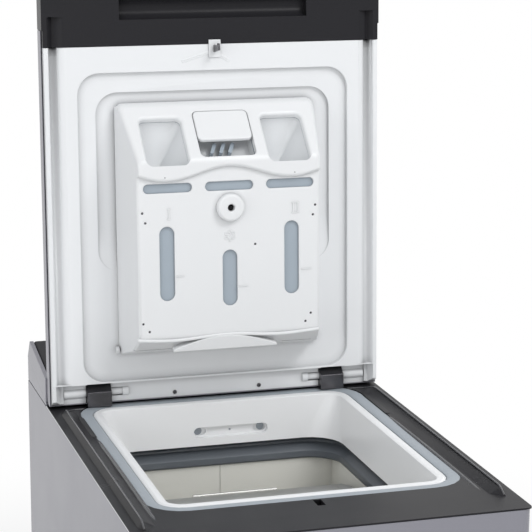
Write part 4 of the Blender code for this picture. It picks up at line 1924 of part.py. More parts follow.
def build_lid():
    lid = pivot("lid_hinge", (0, HINGE_Y, HINGE_Z), turn=-90 - LID_LEAN)
    lid_skin(lid)
    lid_inner(lid)
    lid_handle(lid)
    lid_hook(lid)
    hinge_pins(lid)
    origin = (0, *lid_point(DISP_PIVOT_REACH, DISP_PIVOT_RISE))
    disp = pivot("dispenser_tilt", origin, lid)
    dispenser_front(disp, origin)
    dispenser_tray(disp, origin)
    dispenser_boss(disp, origin)
    release_pad(disp, origin)


def build_tub():
    tub = pivot("tub_float", (0, AXIS_Y, AXIS_Z))
    for label, side in SIDES:
        tub_half(label, side, tub)
    heater(tub)
    counterweight(tub)
    drive_belt(tub)
    motor_body(tub)
    motor_turning_parts(tub)
    dampers(tub)
    suspension_springs()
    drum = pivot("drum_spin", (0, 0, 0), tub)
    drum_shell(drum)
    for label, side in SIDES:
        drum_end(label, side, drum)
    drum_pulley(drum)
    drum_doors(drum)


def build_service():
    drain_pump()
    pump_filter()
    filter_flap()
    sump_hose()


def main():
    clear_scene()
    build_cabinet()
    build_console()
    build_lid()
    build_tub()
    build_service()


main()
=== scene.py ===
import json
from math import atan2, cos, pi, radians, sin, sqrt

import bpy
from mathutils import Matrix, Vector


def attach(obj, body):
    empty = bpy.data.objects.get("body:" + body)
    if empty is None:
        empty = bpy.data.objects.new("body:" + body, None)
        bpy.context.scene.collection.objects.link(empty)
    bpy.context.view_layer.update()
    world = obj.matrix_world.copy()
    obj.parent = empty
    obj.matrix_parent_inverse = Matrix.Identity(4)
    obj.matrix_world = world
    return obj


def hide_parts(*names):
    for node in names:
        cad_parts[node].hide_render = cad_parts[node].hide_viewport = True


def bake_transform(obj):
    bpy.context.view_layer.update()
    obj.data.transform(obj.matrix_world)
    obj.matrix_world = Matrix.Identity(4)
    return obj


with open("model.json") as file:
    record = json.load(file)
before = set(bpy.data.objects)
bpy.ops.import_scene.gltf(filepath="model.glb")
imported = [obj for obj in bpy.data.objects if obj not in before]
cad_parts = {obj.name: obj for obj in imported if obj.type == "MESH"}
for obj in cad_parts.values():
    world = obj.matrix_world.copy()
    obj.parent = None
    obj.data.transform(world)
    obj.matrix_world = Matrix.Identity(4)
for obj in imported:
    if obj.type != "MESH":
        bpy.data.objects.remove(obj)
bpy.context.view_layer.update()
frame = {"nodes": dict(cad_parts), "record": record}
bpy.ops.object.select_all(action="DESELECT")

scene = bpy.context.scene
scene.view_settings.view_transform = "Standard"


# Node helpers


def addNode(tree, kind, **settings):
    node = tree.nodes.new(kind)
    for label, value in settings.items():
        setattr(node, label, value)
    return node


def setInputs(node, values):
    for label, value in values.items():
        node.inputs[label].default_value = value


def feed(tree, value, socket):
    if isinstance(value, (int, float)):
        socket.default_value = value
    else:
        tree.links.new(value, socket)


def mathNode(tree, operation, first, second):
    node = addNode(tree, "ShaderNodeMath", operation=operation)
    feed(tree, first, node.inputs[0])
    feed(tree, second, node.inputs[1])
    return node.outputs[0]


def scaledVector(tree, vector, share):
    node = addNode(tree, "ShaderNodeVectorMath", operation="SCALE")
    tree.links.new(vector, node.inputs[0])
    tree.links.new(share, node.inputs["Scale"])
    return node.outputs[0]


def smoothRange(tree, value, start, end, low=0.0, high=1.0):
    node = addNode(tree, "ShaderNodeMapRange", interpolation_type="SMOOTHSTEP")
    setInputs(node, {"From Min": start, "From Max": end, "To Min": low, "To Max": high})
    tree.links.new(value, node.inputs["Value"])
    return node.outputs["Result"]


# 1 where the camera, a reflection or glass looks, 0 for the light that falls on the object
def seenRays(tree):
    rays = addNode(tree, "ShaderNodeLightPath").outputs
    direct = mathNode(tree, "MAXIMUM", rays["Is Camera Ray"], rays["Is Glossy Ray"])
    return mathNode(tree, "MAXIMUM", direct, rays["Is Transmission Ray"])


def mixToSurface(tree, share, first, second, out):
    mix = addNode(tree, "ShaderNodeMixShader")
    for slot, value in enumerate((share, first.outputs[0], second.outputs[0])):
        tree.links.new(value, mix.inputs[slot])
    tree.links.new(mix.outputs[0], out.inputs["Surface"])


# Camera, lamps and floor

camera = {"place": (-0.58577, -2.00181, 1.50221), "turnRight": 0.289996, "lookDown": 0.217392, "roll": 0.005201,
          "lens": 133.71, "sensor": 36, "farthest": 60}


def cameraMatrix():
    yaw, pitch, roll = camera["turnRight"], camera["lookDown"], camera["roll"]
    forward = Vector((sin(yaw) * cos(pitch), cos(yaw) * cos(pitch), -sin(pitch)))
    level = Vector((cos(yaw), -sin(yaw), 0))
    upright = level.cross(forward)
    right = level * cos(roll) + upright * sin(roll)
    up = upright * cos(roll) - level * sin(roll)
    matrix = Matrix((right, up, -forward)).transposed().to_4x4()
    matrix.translation = camera["place"]
    return matrix


bpy.ops.object.camera_add()
photoCamera = bpy.context.object
photoCamera.name = "photoCamera"
photoCamera.matrix_world = cameraMatrix()
photoCamera.data.lens = camera["lens"]
photoCamera.data.sensor_width = camera["sensor"]
photoCamera.data.clip_end = camera["farthest"]
scene.camera = photoCamera

lamps = {
    "overhead": {"place": (0.95, -1.45, 2.9), "aim": (0, 0, 0.95), "size": 0.9, "power": 22},
    "sideLeft": {"place": (-2.7, -1.7, 1.5), "aim": (0, 0, 0.95), "size": 2.0, "power": 17},
    "frontLow": {"place": (-0.5, -3.2, 0.9), "aim": (0, 0, 1.0), "size": 1.6, "power": 14},
    "backRight": {"place": (2.6, 1.9, 2.4), "aim": (0, 0, 0.8), "size": 1.6, "power": 14},
}
for label, lamp in lamps.items():
    bpy.ops.object.light_add(type="AREA", location=lamp["place"])
    lampObject = bpy.context.object
    lampObject.name = label
    lampObject.data.shape = "SQUARE"
    lampObject.data.size = lamp["size"]
    lampObject.data.energy = lamp["power"]
    aim = Vector(lamp["aim"]) - Vector(lamp["place"])
    lampObject.rotation_euler = aim.to_track_quat("-Z", "Y").to_euler()

# The room lights the object from "below" to "above", and shows white in the view and in reflections
roomLight = {"above": 0.66, "below": 0.36, "fadeFrom": -0.7, "fadeTo": 0.9, "tint": (0.965, 0.985, 1, 1), "seen": 1.0}
world = bpy.data.worlds.new("studioRoom")
scene.world = world
world.use_nodes = True
room = world.node_tree
room.nodes.clear()
roomHeight = addNode(room, "ShaderNodeSeparateXYZ")
room.links.new(addNode(room, "ShaderNodeTexCoord").outputs["Generated"], roomHeight.inputs[0])
ambientShade = addNode(room, "ShaderNodeBackground")
ambientShade.inputs["Color"].default_value = roomLight["tint"]
room.links.new(smoothRange(room, roomHeight.outputs["Z"], roomLight["fadeFrom"], roomLight["fadeTo"],
                           roomLight["below"], roomLight["above"]), ambientShade.inputs["Strength"])
seenShade = addNode(room, "ShaderNodeBackground")
setInputs(seenShade, {"Color": (1, 1, 1, 1), "Strength": roomLight["seen"]})
mixToSurface(room, seenRays(room), ambientShade, seenShade, addNode(room, "ShaderNodeOutputWorld"))

floorPlan = {"size": 60.0, "whiteFrom": 0.9, "whiteTo": 2.6, "shade": (0.86, 0.86, 0.86, 1)}
bpy.ops.mesh.primitive_plane_add(size=floorPlan["size"])
studioFloor = bpy.context.object
studioFloor.name = "studioFloor"
floorMaterial = bpy.data.materials.new("paleFloor")
floorMaterial.use_nodes = True
floor = floorMaterial.node_tree
floorShader = floor.nodes["Principled BSDF"]
setInputs(floorShader, {"Base Color": floorPlan["shade"], "Roughness": 0.8, "Specular IOR Level": 0.1})
floorGlow = addNode(floor, "ShaderNodeEmission")
floorGlow.inputs["Color"].default_value = (1, 1, 1, 1)
floorReach = addNode(floor, "ShaderNodeVectorMath", operation="LENGTH")
floor.links.new(addNode(floor, "ShaderNodeTexCoord").outputs["Object"], floorReach.inputs[0])
floorFade = smoothRange(floor, floorReach.outputs["Value"], floorPlan["whiteFrom"], floorPlan["whiteTo"])
mixToSurface(floor, mathNode(floor, "MULTIPLY", seenRays(floor), floorFade), floorShader, floorGlow,
             floor.nodes["Material Output"])
studioFloor.data.materials.append(floorMaterial)
print("camera, lamps and floor are set")


# Shared shader groups. Each puts out colours, masks or heights that change over the surface.


def newGroup(name, inputs, outputs):
    group = bpy.data.node_groups.new(name, "ShaderNodeTree")
    for label, kind, value in inputs:
        socket = group.interface.new_socket(label, in_out="INPUT", socket_type="NodeSocket" + kind)
        socket.default_value = value
    for label, kind in outputs:
        group.interface.new_socket(label, in_out="OUTPUT", socket_type="NodeSocket" + kind)
    return group, group.nodes.new("NodeGroupInput"), group.nodes.new("NodeGroupOutput")


def noiseAt(tree, place, scale, detail):
    node = addNode(tree, "ShaderNodeTexNoise")
    tree.links.new(place, node.inputs["Vector"])
    feed(tree, scale, node.inputs["Scale"])
    setInputs(node, {"Detail": detail, "Roughness": 0.5})
    return node.outputs["Fac"]


# The colour wanders a little between a lighter and a darker tone
def buildToneDrift():
    group, entry, leave = newGroup("toneDrift", [
        ("Color", "Color", (0.5, 0.5, 0.5, 1)), ("Darker Share", "Float", 0.06), ("Patch Scale", "Float", 6.0),
        ("Speck Share", "Float", 0.02)], [("Color", "Color")])
    place = addNode(group, "ShaderNodeTexCoord").outputs["Object"]
    patch = noiseAt(group, place, entry.outputs["Patch Scale"], 3)
    speck = noiseAt(group, place, 900.0, 1)
    patchShare = mathNode(group, "MULTIPLY", patch, entry.outputs["Darker Share"])
    speckShare = mathNode(group, "MULTIPLY", speck, entry.outputs["Speck Share"])
    keep = mathNode(group, "SUBTRACT", 1.0, mathNode(group, "ADD", patchShare, speckShare))
    group.links.new(scaledVector(group, entry.outputs["Color"], keep), leave.inputs["Color"])
    return group


# Painted shade: the colour gets darker in narrow gaps and corners, where less light falls, as far as Reach
def buildCreviceShade():
    group, entry, leave = newGroup("creviceShade", [
        ("Color", "Color", (0.8, 0.8, 0.8, 1)), ("Deep Share", "Float", 0.3), ("Reach", "Float", 0.012)],
        [("Color", "Color")])
    spread = addNode(group, "ShaderNodeAmbientOcclusion", samples=8)
    group.links.new(entry.outputs["Reach"], spread.inputs["Distance"])
    gap = mathNode(group, "SUBTRACT", 1.0, spread.outputs["AO"])
    keep = mathNode(group, "SUBTRACT", 1.0, mathNode(group, "MULTIPLY", gap, entry.outputs["Deep Share"]))
    group.links.new(scaledVector(group, entry.outputs["Color"], keep), leave.inputs["Color"])
    return group


# Fine spark texture of a mould with a slow waviness under it
def buildMouldGrain():
    group, entry, leave = newGroup("mouldGrain", [
        ("Grain Scale", "Float", 1400.0), ("Wave Scale", "Float", 14.0), ("Wave Share", "Float", 0.3)],
        [("Height", "Float"), ("Rough Mask", "Float")])
    place = addNode(group, "ShaderNodeTexCoord").outputs["Object"]
    grain = noiseAt(group, place, entry.outputs["Grain Scale"], 2)
    wave = noiseAt(group, place, entry.outputs["Wave Scale"], 2)
    waveShare = mathNode(group, "MULTIPLY", wave, entry.outputs["Wave Share"])
    group.links.new(mathNode(group, "ADD", grain, waveShare), leave.inputs["Height"])
    group.links.new(wave, leave.inputs["Rough Mask"])
    return group


# Long fine lines, as in rolled or brushed sheet. Stretch squeezes them across their run.
def buildStretchLines():
    group, entry, leave = newGroup("stretchLines", [("Stretch", "Vector", (30.0, 30.0, 900.0))],
                                   [("Height", "Float"), ("Tone", "Float")])
    scaled = addNode(group, "ShaderNodeVectorMath", operation="MULTIPLY")
    group.links.new(addNode(group, "ShaderNodeTexCoord").outputs["Object"], scaled.inputs[0])
    group.links.new(entry.outputs["Stretch"], scaled.inputs[1])
    lines = noiseAt(group, scaled.outputs[0], 1.0, 3)
    slow = noiseAt(group, scaled.outputs[0], 0.12, 2)
    group.links.new(lines, leave.inputs["Height"])
    group.links.new(mathNode(group, "ADD", mathNode(group, "MULTIPLY", lines, 0.5),
                             mathNode(group, "MULTIPLY", slow, 0.5)), leave.inputs["Tone"])
    return group


toneDrift, mouldGrain = buildToneDrift(), buildMouldGrain()
stretchLines, creviceShade = buildStretchLines(), buildCreviceShade()
sameInAll = {"patch": 5.0, "wave": 12.0, "waveShare": 0.3, "ior": 1.46, "coatRough": 0.12, "bumpDepth": 0.0004}


# A material with the shared groups wired into its own Principled shader
def newFinish(name, colour, rough, texture, bumpStrength, settings):
    finish = bpy.data.materials.new(name)
    finish.use_nodes = True
    tree = finish.node_tree
    shader = tree.nodes["Principled BSDF"]
    tone = addNode(tree, "ShaderNodeGroup", node_tree=toneDrift)
    setInputs(tone, {"Color": (*colour, 1), "Darker Share": settings.get("drift", 0.05),
                     "Patch Scale": sameInAll["patch"], "Speck Share": settings.get("speck", 0.02)})
    # Painted shade: the base colour darkens in gaps and corners
    crevice = addNode(tree, "ShaderNodeGroup", node_tree=creviceShade)
    setInputs(crevice, {"Deep Share": settings.get("crevice", 0.35), "Reach": settings.get("creviceReach", 0.010)})
    tree.links.new(tone.outputs["Color"], crevice.inputs["Color"])
    tree.links.new(crevice.outputs["Color"], shader.inputs["Base Color"])
    if isinstance(texture, tuple):
        lines = addNode(tree, "ShaderNodeGroup", node_tree=stretchLines)
        lines.inputs["Stretch"].default_value = texture
        height, mask = lines.outputs["Height"], lines.outputs["Tone"]
    else:
        grain = addNode(tree, "ShaderNodeGroup", node_tree=mouldGrain)
        setInputs(grain, {"Grain Scale": texture, "Wave Scale": sameInAll["wave"],
                          "Wave Share": sameInAll["waveShare"]})
        height, mask = grain.outputs["Height"], grain.outputs["Rough Mask"]
    spread = addNode(tree, "ShaderNodeMapRange")
    setInputs(spread, {"To Min": rough[0], "To Max": rough[1]})
    tree.links.new(mask, spread.inputs["Value"])
    tree.links.new(spread.outputs["Result"], shader.inputs["Roughness"])
    bump = addNode(tree, "ShaderNodeBump")
    setInputs(bump, {"Strength": bumpStrength, "Distance": sameInAll["bumpDepth"]})
    tree.links.new(height, bump.inputs["Height"])
    tree.links.new(bump.outputs["Normal"], shader.inputs["Normal"])
    setInputs(shader, {"Metallic": settings.get("metal", 0.0), "IOR": sameInAll["ior"],
                       "Specular IOR Level": settings.get("specular", 0.5)})
    if "coat" in settings:
        setInputs(shader, {"Coat Weight": settings["coat"], "Coat Roughness": sameInAll["coatRough"]})
    return finish


# Colour, roughness from and to, scale of the grain or stretch of the lines, bump, and what differs from the rest
# crevice and creviceReach in the last column set how strongly painted shade darkens gaps and corners
finishMix = {
    "silverPaint": ((0.268, 0.266, 0.302), (0.34, 0.44), 1900.0, 0.05, {"metal": 0.35, "speck": 0.1, "coat": 0.25}),
    "whitePlastic": ((0.86, 0.868, 0.88), (0.3, 0.4), 1500.0, 0.04,
                     {"drift": 0.03, "crevice": 0.45, "creviceReach": 0.006}),
    "linerWhite": ((0.855, 0.865, 0.88), (0.28, 0.38), 1500.0, 0.04, {"drift": 0.03, "crevice": 0.6}),
    # Painted light: the well's white is lighter than the other white plastics, so the well, which gets little light,
    # shows bright
    "wellWhite": ((0.93, 0.935, 0.945), (0.26, 0.36), 1500.0, 0.04, {"drift": 0.02, "crevice": 0.08}),
    "darkPlastic": ((0.027, 0.0265, 0.03), (0.24, 0.36), 1100.0, 0.1,
                    {"specular": 0.1, "crevice": 0.7, "speck": 0.2}),
    "gloss": ((0.075, 0.075, 0.082), (0.1, 0.18), 1100.0, 0.02, {"specular": 0.55, "crevice": 0.5}),
    "trayPlastic": ((0.405, 0.465, 0.525), (0.22, 0.3), 1300.0, 0.05, {"drift": 0.08}),
    "trayWhite": ((0.87, 0.885, 0.9), (0.26, 0.34), 1300.0, 0.04, {"drift": 0.1, "creviceReach": 0.02}),
    "gasketRubber": ((0.4, 0.44, 0.48), (0.42, 0.55), 1300.0, 0.08, {"drift": 0.08}),
    "greyRubber": ((0.115, 0.13, 0.15), (0.3, 0.42), 1200.0, 0.1,
                   {"drift": 0.1, "crevice": 0.8, "creviceReach": 0.014}),
    "darkSteel": ((0.128, 0.126, 0.136), (0.22, 0.3), (20.0, 900.0, 900.0), 0.03, {"metal": 0.9, "drift": 0.02}),
    "brightSteel": ((0.62, 0.62, 0.6), (0.36, 0.48), (30.0, 500.0, 500.0), 0.05, {"metal": 1.0}),
    "zincSteel": ((0.47, 0.48, 0.49), (0.32, 0.5), (60.0, 60.0, 700.0), 0.06, {"metal": 0.9, "drift": 0.15}),
    "tubPlastic": ((0.87, 0.86, 0.8), (0.38, 0.5), 900.0, 0.08, {"drift": 0.06}),
    "blackPlastic": ((0.02, 0.02, 0.022), (0.42, 0.55), 1000.0, 0.12, {"speck": 0.25}),
    "blackRubber": ((0.018, 0.018, 0.019), (0.5, 0.65), 1000.0, 0.12, {"speck": 0.2}),
    "castIron": ((0.1, 0.1, 0.105), (0.6, 0.8), 500.0, 0.5, {"drift": 0.2}),
    "boardGreen": ((0.03, 0.16, 0.06), (0.32, 0.42), 900.0, 0.08, {"drift": 0.1}),
}
finishes = {name: newFinish(name, *mix) for name, mix in finishMix.items()}
bodyOf = {node: body for body, nodes in frame["record"]["behaviour"]["bodies"].items() for node in nodes}
# Soft parts that stretch between the cabinet and the floating tub: heights where each side takes over
softSpan = {"bellows": (0.8010, 0.7710), "sump_hose": (0.1720, 0.2600)}
softSpan.update({node: (0.7960, 0.6700) for node in frame["nodes"] if node.startswith("spring_")})
print("finishes are mixed")


# Helpers for pieces

hair = 0.00001  # places closer than this count as one


def deselectAll():
    bpy.ops.object.select_all(action="DESELECT")


def setMode(mode):
    bpy.ops.object.mode_set(mode=mode)


def focusOn(piece):
    if bpy.context.object and bpy.context.object.mode != "OBJECT":
        setMode("OBJECT")
    deselectAll()
    piece.select_set(True)
    bpy.context.view_layer.objects.active = piece


def editAll(piece):
    focusOn(piece)
    setMode("EDIT")
    bpy.ops.mesh.select_all(action="SELECT")
    return piece


# Merge, close and turn the faces outward, then leave edit mode
def endEdit(piece):
    bpy.ops.mesh.select_mode(type="VERT")
    bpy.ops.mesh.select_all(action="SELECT")
    bpy.ops.mesh.remove_doubles(threshold=0.000002)
    bpy.ops.mesh.normals_make_consistent(inside=False)
    setMode("OBJECT")
    return piece


# The primitive just added, named and with its place in its mesh
def newPiece(name):
    piece = bpy.context.object
    piece.name = name
    bpy.ops.object.transform_apply()
    return piece


def applyModifier(piece, kind, **settings):
    focusOn(piece)
    modifier = piece.modifiers.new("shape", kind)
    for label, value in settings.items():
        setattr(modifier, label, value)
    bpy.ops.object.modifier_apply(modifier=modifier.name)
    return piece


def moveMesh(piece, matrix):
    focusOn(piece)
    piece.matrix_world = matrix @ piece.matrix_world
    bpy.ops.object.transform_apply()
    return piece


# Cut, join or keep the shared part with a tool, which is used up
def merge(target, tool, operation):
    applyModifier(target, "BOOLEAN", operation=operation, solver="EXACT", object=tool)
    bpy.data.objects.remove(tool)
    return target


def smoothFaces(piece, angle=32):
    focusOn(piece)
    bpy.ops.object.shade_smooth_by_angle(angle=radians(angle))
    return applyModifier(piece, "WEIGHTED_NORMAL", keep_sharp=True, weight=100)


def joinPieces(name, pieces):
    deselectAll()
    for piece in pieces:
        piece.select_set(True)
    bpy.context.view_layer.objects.active = pieces[0]
    bpy.ops.object.join()
    pieces[0].name = name
    return pieces[0]


# A copy of a node with merged faces and rounded edges
def softCopy(node, name, width):
    piece = bpy.data.objects.new(name, frame["nodes"][node].data.copy())
    scene.collection.objects.link(piece)
    focusOn(piece)
    if piece.data.has_custom_normals:
        bpy.ops.mesh.customdata_custom_splitnormals_clear()
    editAll(piece)
    bpy.ops.mesh.remove_doubles(threshold=0.00002)
    if node != "rear_panel":  # its large pierced face must stay in triangles
        bpy.ops.mesh.dissolve_limited(angle_limit=radians(0.6))
    bpy.ops.mesh.normals_make_consistent(inside=False)
    setMode("OBJECT")
    applyModifier(piece, "BEVEL", width=width, segments=2, limit_method="ANGLE", angle_limit=radians(32),
                  harden_normals=False, miter_outer="MITER_ARC")
    return smoothFaces(piece, 34)


def slotOf(node):
    return frame["nodes"][node].data.materials[0].name.split(".")[0]


# Gives the piece a finish and the body of a node, which it replaces where instead is true
def dress(piece, finish, node, instead=False):
    piece.data.materials.clear()
    piece.data.materials.append(finishes[finish])
    if node not in softSpan:  # a soft piece rides on no body
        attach(piece, bodyOf[node])
    if instead:
        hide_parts(node)
    deselectAll()
    return piece


# Smooth a piece made in the lid's own frame, put it on the lid and dress it
def dressOnLid(piece, finish, node, instead=False, angle=32):
    smoothFaces(piece, angle)
    moveMesh(piece, lidPlace)
    return dress(piece, finish, node, instead)


def addSecondFinish(piece, finish, chosen):
    piece.data.materials.append(finishes[finish])
    for face, index in zip(piece.data.polygons, chosen):
        face.material_index = index


# Select the faces or edges that pass the test, which gets the centre and the normal or direction
def selectParts(piece, kind, wanted):
    focusOn(piece)
    mesh = piece.data
    setMode("EDIT")
    bpy.ops.mesh.select_mode(type=kind)
    bpy.ops.mesh.select_all(action="DESELECT")
    setMode("OBJECT")
    if kind == "FACE":
        for face in mesh.polygons:
            face.select = bool(wanted(face.center, face.normal))
    else:
        for edge in mesh.edges:
            first, second = (mesh.vertices[index].co for index in edge.vertices)
            edge.select = bool(wanted((first + second) / 2, second - first))
    setMode("EDIT")


# Pull a copy of the selected faces away, with walls between
def pull(x, y, z):
    bpy.ops.mesh.extrude_region_move(TRANSFORM_OT_translate={"value": (x, y, z)})


# Turn a flat region into a closed slab by pulling a copy of it down
def closePlate(piece, down):
    editAll(piece)
    pull(0, 0, -down)
    bpy.ops.mesh.select_all(action="SELECT")
    bpy.ops.mesh.normals_make_consistent(inside=False)
    setMode("OBJECT")


def roundEdges(piece, width, segments, wanted):
    selectParts(piece, "EDGE", wanted)
    bpy.ops.mesh.bevel(offset=width, offset_type="OFFSET", segments=segments, profile=0.5, affect="EDGES",
                       clamp_overlap=False)
    return endEdit(piece)


def onTop(centre, run):
    return centre.z > -hair


# Plate round the origin, with its top at z = 0. A corner of half its width closes into a full round.
def addPlate(name, width, height, corner, cornerSteps, thick, edge=0, edgeSteps=0):
    deselectAll()
    bpy.ops.mesh.primitive_plane_add(size=1)
    bpy.context.object.scale = (width, height, 1)
    plate = newPiece(name)
    smaller = min(width, height)
    full = corner >= smaller * 0.49
    editAll(plate)
    bpy.ops.mesh.bevel(offset=smaller * 0.49999 if full else corner, offset_type="OFFSET", segments=cornerSteps,
                       affect="VERTICES")
    if full:
        bpy.ops.mesh.select_all(action="SELECT")
        bpy.ops.mesh.remove_doubles(threshold=smaller * 0.002)
    setMode("OBJECT")
    closePlate(plate, thick)
    return roundEdges(plate, edge, edgeSteps, onTop) if edge else plate


def addCylinder(name, vertices, radius, depth, place=(0, 0, 0), turn=(0, 0, 0)):
    deselectAll()
    bpy.ops.mesh.primitive_cylinder_add(vertices=vertices, radius=radius, depth=depth, location=place, rotation=turn)
    return newPiece(name)


def addBlock(name, low, high):
    deselectAll()
    bpy.ops.mesh.primitive_cube_add(size=1)
    middle = [(low[i] + high[i]) / 2 for i in range(3)]
    bpy.context.object.matrix_world = Matrix.Translation(middle) @ Matrix.Diagonal(
        (high[0] - low[0], high[1] - low[1], high[2] - low[2], 1))
    return newPiece(name)


def selectLowest(piece):
    low = min(vertex.co.z for vertex in piece.data.vertices)
    selectParts(piece, "FACE", lambda centre, normal: centre.z < low + 0.0000005)


# From the lowest faces downward: each step draws in by the first number and goes down by the second
def sink(piece, steps):
    for drawIn, down in steps:
        selectLowest(piece)
        if drawIn > 0:
            bpy.ops.mesh.inset(thickness=drawIn, depth=down)
        else:
            pull(0, 0, -down)
        setMode("OBJECT")


# From the lowest faces downward: each step goes down, shrinks across and along, and shifts both ways
def taper(piece, steps):
    for down, across, along, aside, shift in steps:
        selectLowest(piece)
        pull(aside, shift, -down)
        bpy.ops.transform.resize(value=(across, along, 1), center_override=(aside, shift, 0))
        setMode("OBJECT")


# Draw-in and drop of each step down a quarter circle, as at the rim of a moulded hole
def roundSteps(radius, count):
    places = [(radius * (1 - sin(pi / 2 * i / count)), radius * (1 - cos(pi / 2 * i / count)))
              for i in range(count + 1)]
    return [(places[i][0] - places[i + 1][0], places[i + 1][1] - places[i][1]) for i in range(count)]


# Cutter for a hole with a softly rounded rim, drawn round the origin with the surface at z = 0
def rimCutter(width, height, corner, rim, depth, cornerSteps=6, rimSteps=4):
    proud = 0.004
    cutter = addPlate("cutter", width + 2 * rim, height + 2 * rim, corner + rim, cornerSteps, proud)
    sink(cutter, roundSteps(rim, rimSteps) + [(0, depth)])
    endEdit(editAll(cutter))
    return moveMesh(cutter, Matrix.Translation((0, 0, proud)))


# Slice off what lies outside each plane, given by a point and an outward direction
def carve(piece, planes):
    for point, outward in planes:
        editAll(piece)
        bpy.ops.mesh.bisect(plane_co=point, plane_no=outward, use_fill=True, clear_outer=True)
        endEdit(piece)
    return piece


# Slab over a grid: low and high give x and reach of its long edges for a share of its length
def addStrip(name, columns, low, high, rise, thick):
    deselectAll()
    bpy.ops.mesh.primitive_grid_add(x_subdivisions=columns, y_subdivisions=1, size=1)
    strip = bpy.context.object
    strip.name = name
    for vertex in strip.data.vertices:
        share = vertex.co.x + 0.5
        vertex.co = (*(high(share) if vertex.co.y > 0 else low(share)), rise)
    closePlate(strip, thick)
    return strip


def addBall(radius, place):
    bpy.ops.mesh.primitive_uv_sphere_add(segments=16, ring_count=8, radius=radius, location=place)
    return newPiece("ball")


# Dispenser cover. Worked in x, reach from the hinge and rise off the open lid, then moved to its place.

lidHinge = {"place": (0, 0.167, 0.8645), "open": 92.485, "thick": 0.013}
lidPlace = (Matrix.Translation(lidHinge["place"]) @ Matrix.Rotation(radians(-lidHinge["open"]), 4, "X")
            @ Matrix.Translation((0, 0, -lidHinge["thick"])) @ Matrix.Rotation(pi, 4, "X"))

cover = {
    "back": -0.0044, "backHalf": 0.117, "face": 0.058, "faceHalf": 0.1065, "bottom": 0.046, "heel": 0.0075,
    "underReach": 0.056, "underRise": 0.038, "near": 0.072, "far": 0.273, "top": 0.338, "wall": 0.0025,
    "blankHalf": 0.13, "blankEnd": 0.35, "endReach": 0.3345, "endLean": 0.15, "endTrim": 0.004,
    "hood": 0.0052, "hoodBack": -0.0018, "waveReach": 0.2585, "waveSwing": 0.0075, "waveLength": 0.145,
    "cornerRound": 0.0080, "slopeRound": 0.0049, "edgeRound": 0.0042, "lipRound": 0.0045, "crestRound": 0.0042,
    "footRound": 0.003, "mouthPitch": 0.0708, "mouthHalf": 0.0242, "mouthFrom": -0.0060, "mouthTo": 0.0588,
    "mouthRim": 0.0034, "mouthCorner": 0.0062, "mouthDepth": 0.02,
    "padHalf": 0.0318, "padFrom": 0.0248, "padTo": 0.0660, "padProud": 0.0012, "padThick": 0.0042,
    "padCorner": 0.006, "padRound": 0.0020, "padGap": 0.0006, "padHoleFrom": 0.0022, "padHoleRim": 0.0009,
    "slotPitch": 0.0713, "slotWide": 0.056, "slotTall": 0.0105, "slotReach": 0.2438, "slotRim": 0.0012,
    "windowPitch": 0.073, "windowWide": 0.0172, "outerWindow": (0.116, 0.2005), "middleWindow": (0.1065, 0.1707),
    "windowRim": 0.0009, "faceDepth": 0.008,
}
hoodTop = cover["face"] + cover["hood"]
slopeStart = Vector((0, cover["far"], cover["face"]))
slopeLength = sqrt((cover["top"] - cover["far"]) ** 2 + (cover["face"] - cover["back"]) ** 2)
slopeAlong = Vector((0, (cover["top"] - cover["far"]) / slopeLength, (cover["back"] - cover["face"]) / slopeLength))
slopeOut = Vector((0, -slopeAlong.z, slopeAlong.y))


def slopePlace(x, along, out):
    matrix = Matrix((Vector((1, 0, 0)), slopeAlong, slopeOut)).transposed().to_4x4()
    matrix.translation = Vector((x, cover["far"], cover["face"])) + slopeAlong * along + slopeOut * out
    return matrix


def facePlace(x, reach, out=0):
    return Matrix.Translation((x, reach, cover["face"] + out))


def coverPlanes(grow, slopeGrow):
    lean = Vector((cover["face"] - cover["back"], 0, cover["backHalf"] - cover["faceHalf"])).normalized()
    under = Vector((0, cover["underRise"] - cover["face"], cover["near"] - cover["underReach"])).normalized()
    toe = Vector((0, cover["back"] + cover["heel"] - cover["underRise"],
                  cover["underReach"] - cover["bottom"])).normalized()
    planes = [(Vector((side * cover["backHalf"], 0, cover["back"])), Vector((side * lean.x, 0, lean.z)), grow)
              for side in (-1, 1)]
    planes += [(slopeStart, slopeOut, slopeGrow),
               (Vector((0, cover["near"], cover["face"])), under, grow),
               (Vector((0, cover["underReach"], cover["underRise"])), toe, grow),
               (Vector((0, cover["bottom"] + cover["heel"], cover["back"])), Vector((0, -1, -1)).normalized(), grow)]
    return [(point + outward * out, outward) for point, outward, out in planes]


def endPlane(trim):
    return [(Vector((0, cover["endReach"] - trim, 0)), Vector((0, 1, cover["endLean"])))]


def onSlope(point, out):
    return abs((point - slopeStart).dot(slopeOut) - out) < 0.00002


def waveAt(x):
    return cover["waveReach"] + cover["waveSwing"] * cos(2 * pi * x / cover["waveLength"])


def hoodX(share):
    return (share - 0.5) * 2 * cover["blankHalf"]


def cutAt(target, cutter, place):
    return merge(target, moveMesh(cutter, place), "DIFFERENCE")


dispenserCover = addBlock("dispenserCover", (-cover["blankHalf"], cover["bottom"], cover["back"]),
                          (cover["blankHalf"], cover["blankEnd"], cover["face"]))
carve(dispenserCover, coverPlanes(0, 0) + endPlane(cover["endTrim"]))
roundEdges(dispenserCover, cover["edgeRound"], 5, lambda centre, run: abs(centre.z - cover["face"]) < hair)
# Steep edges at both sides of the lower end
roundEdges(dispenserCover, cover["footRound"], 4,
           lambda centre, run: abs(run.x) < 0.03 and centre.y < 0.0662 and centre.z < 0.05
           and abs(run.y) < 0.014 and abs(run.z) > 0.01)

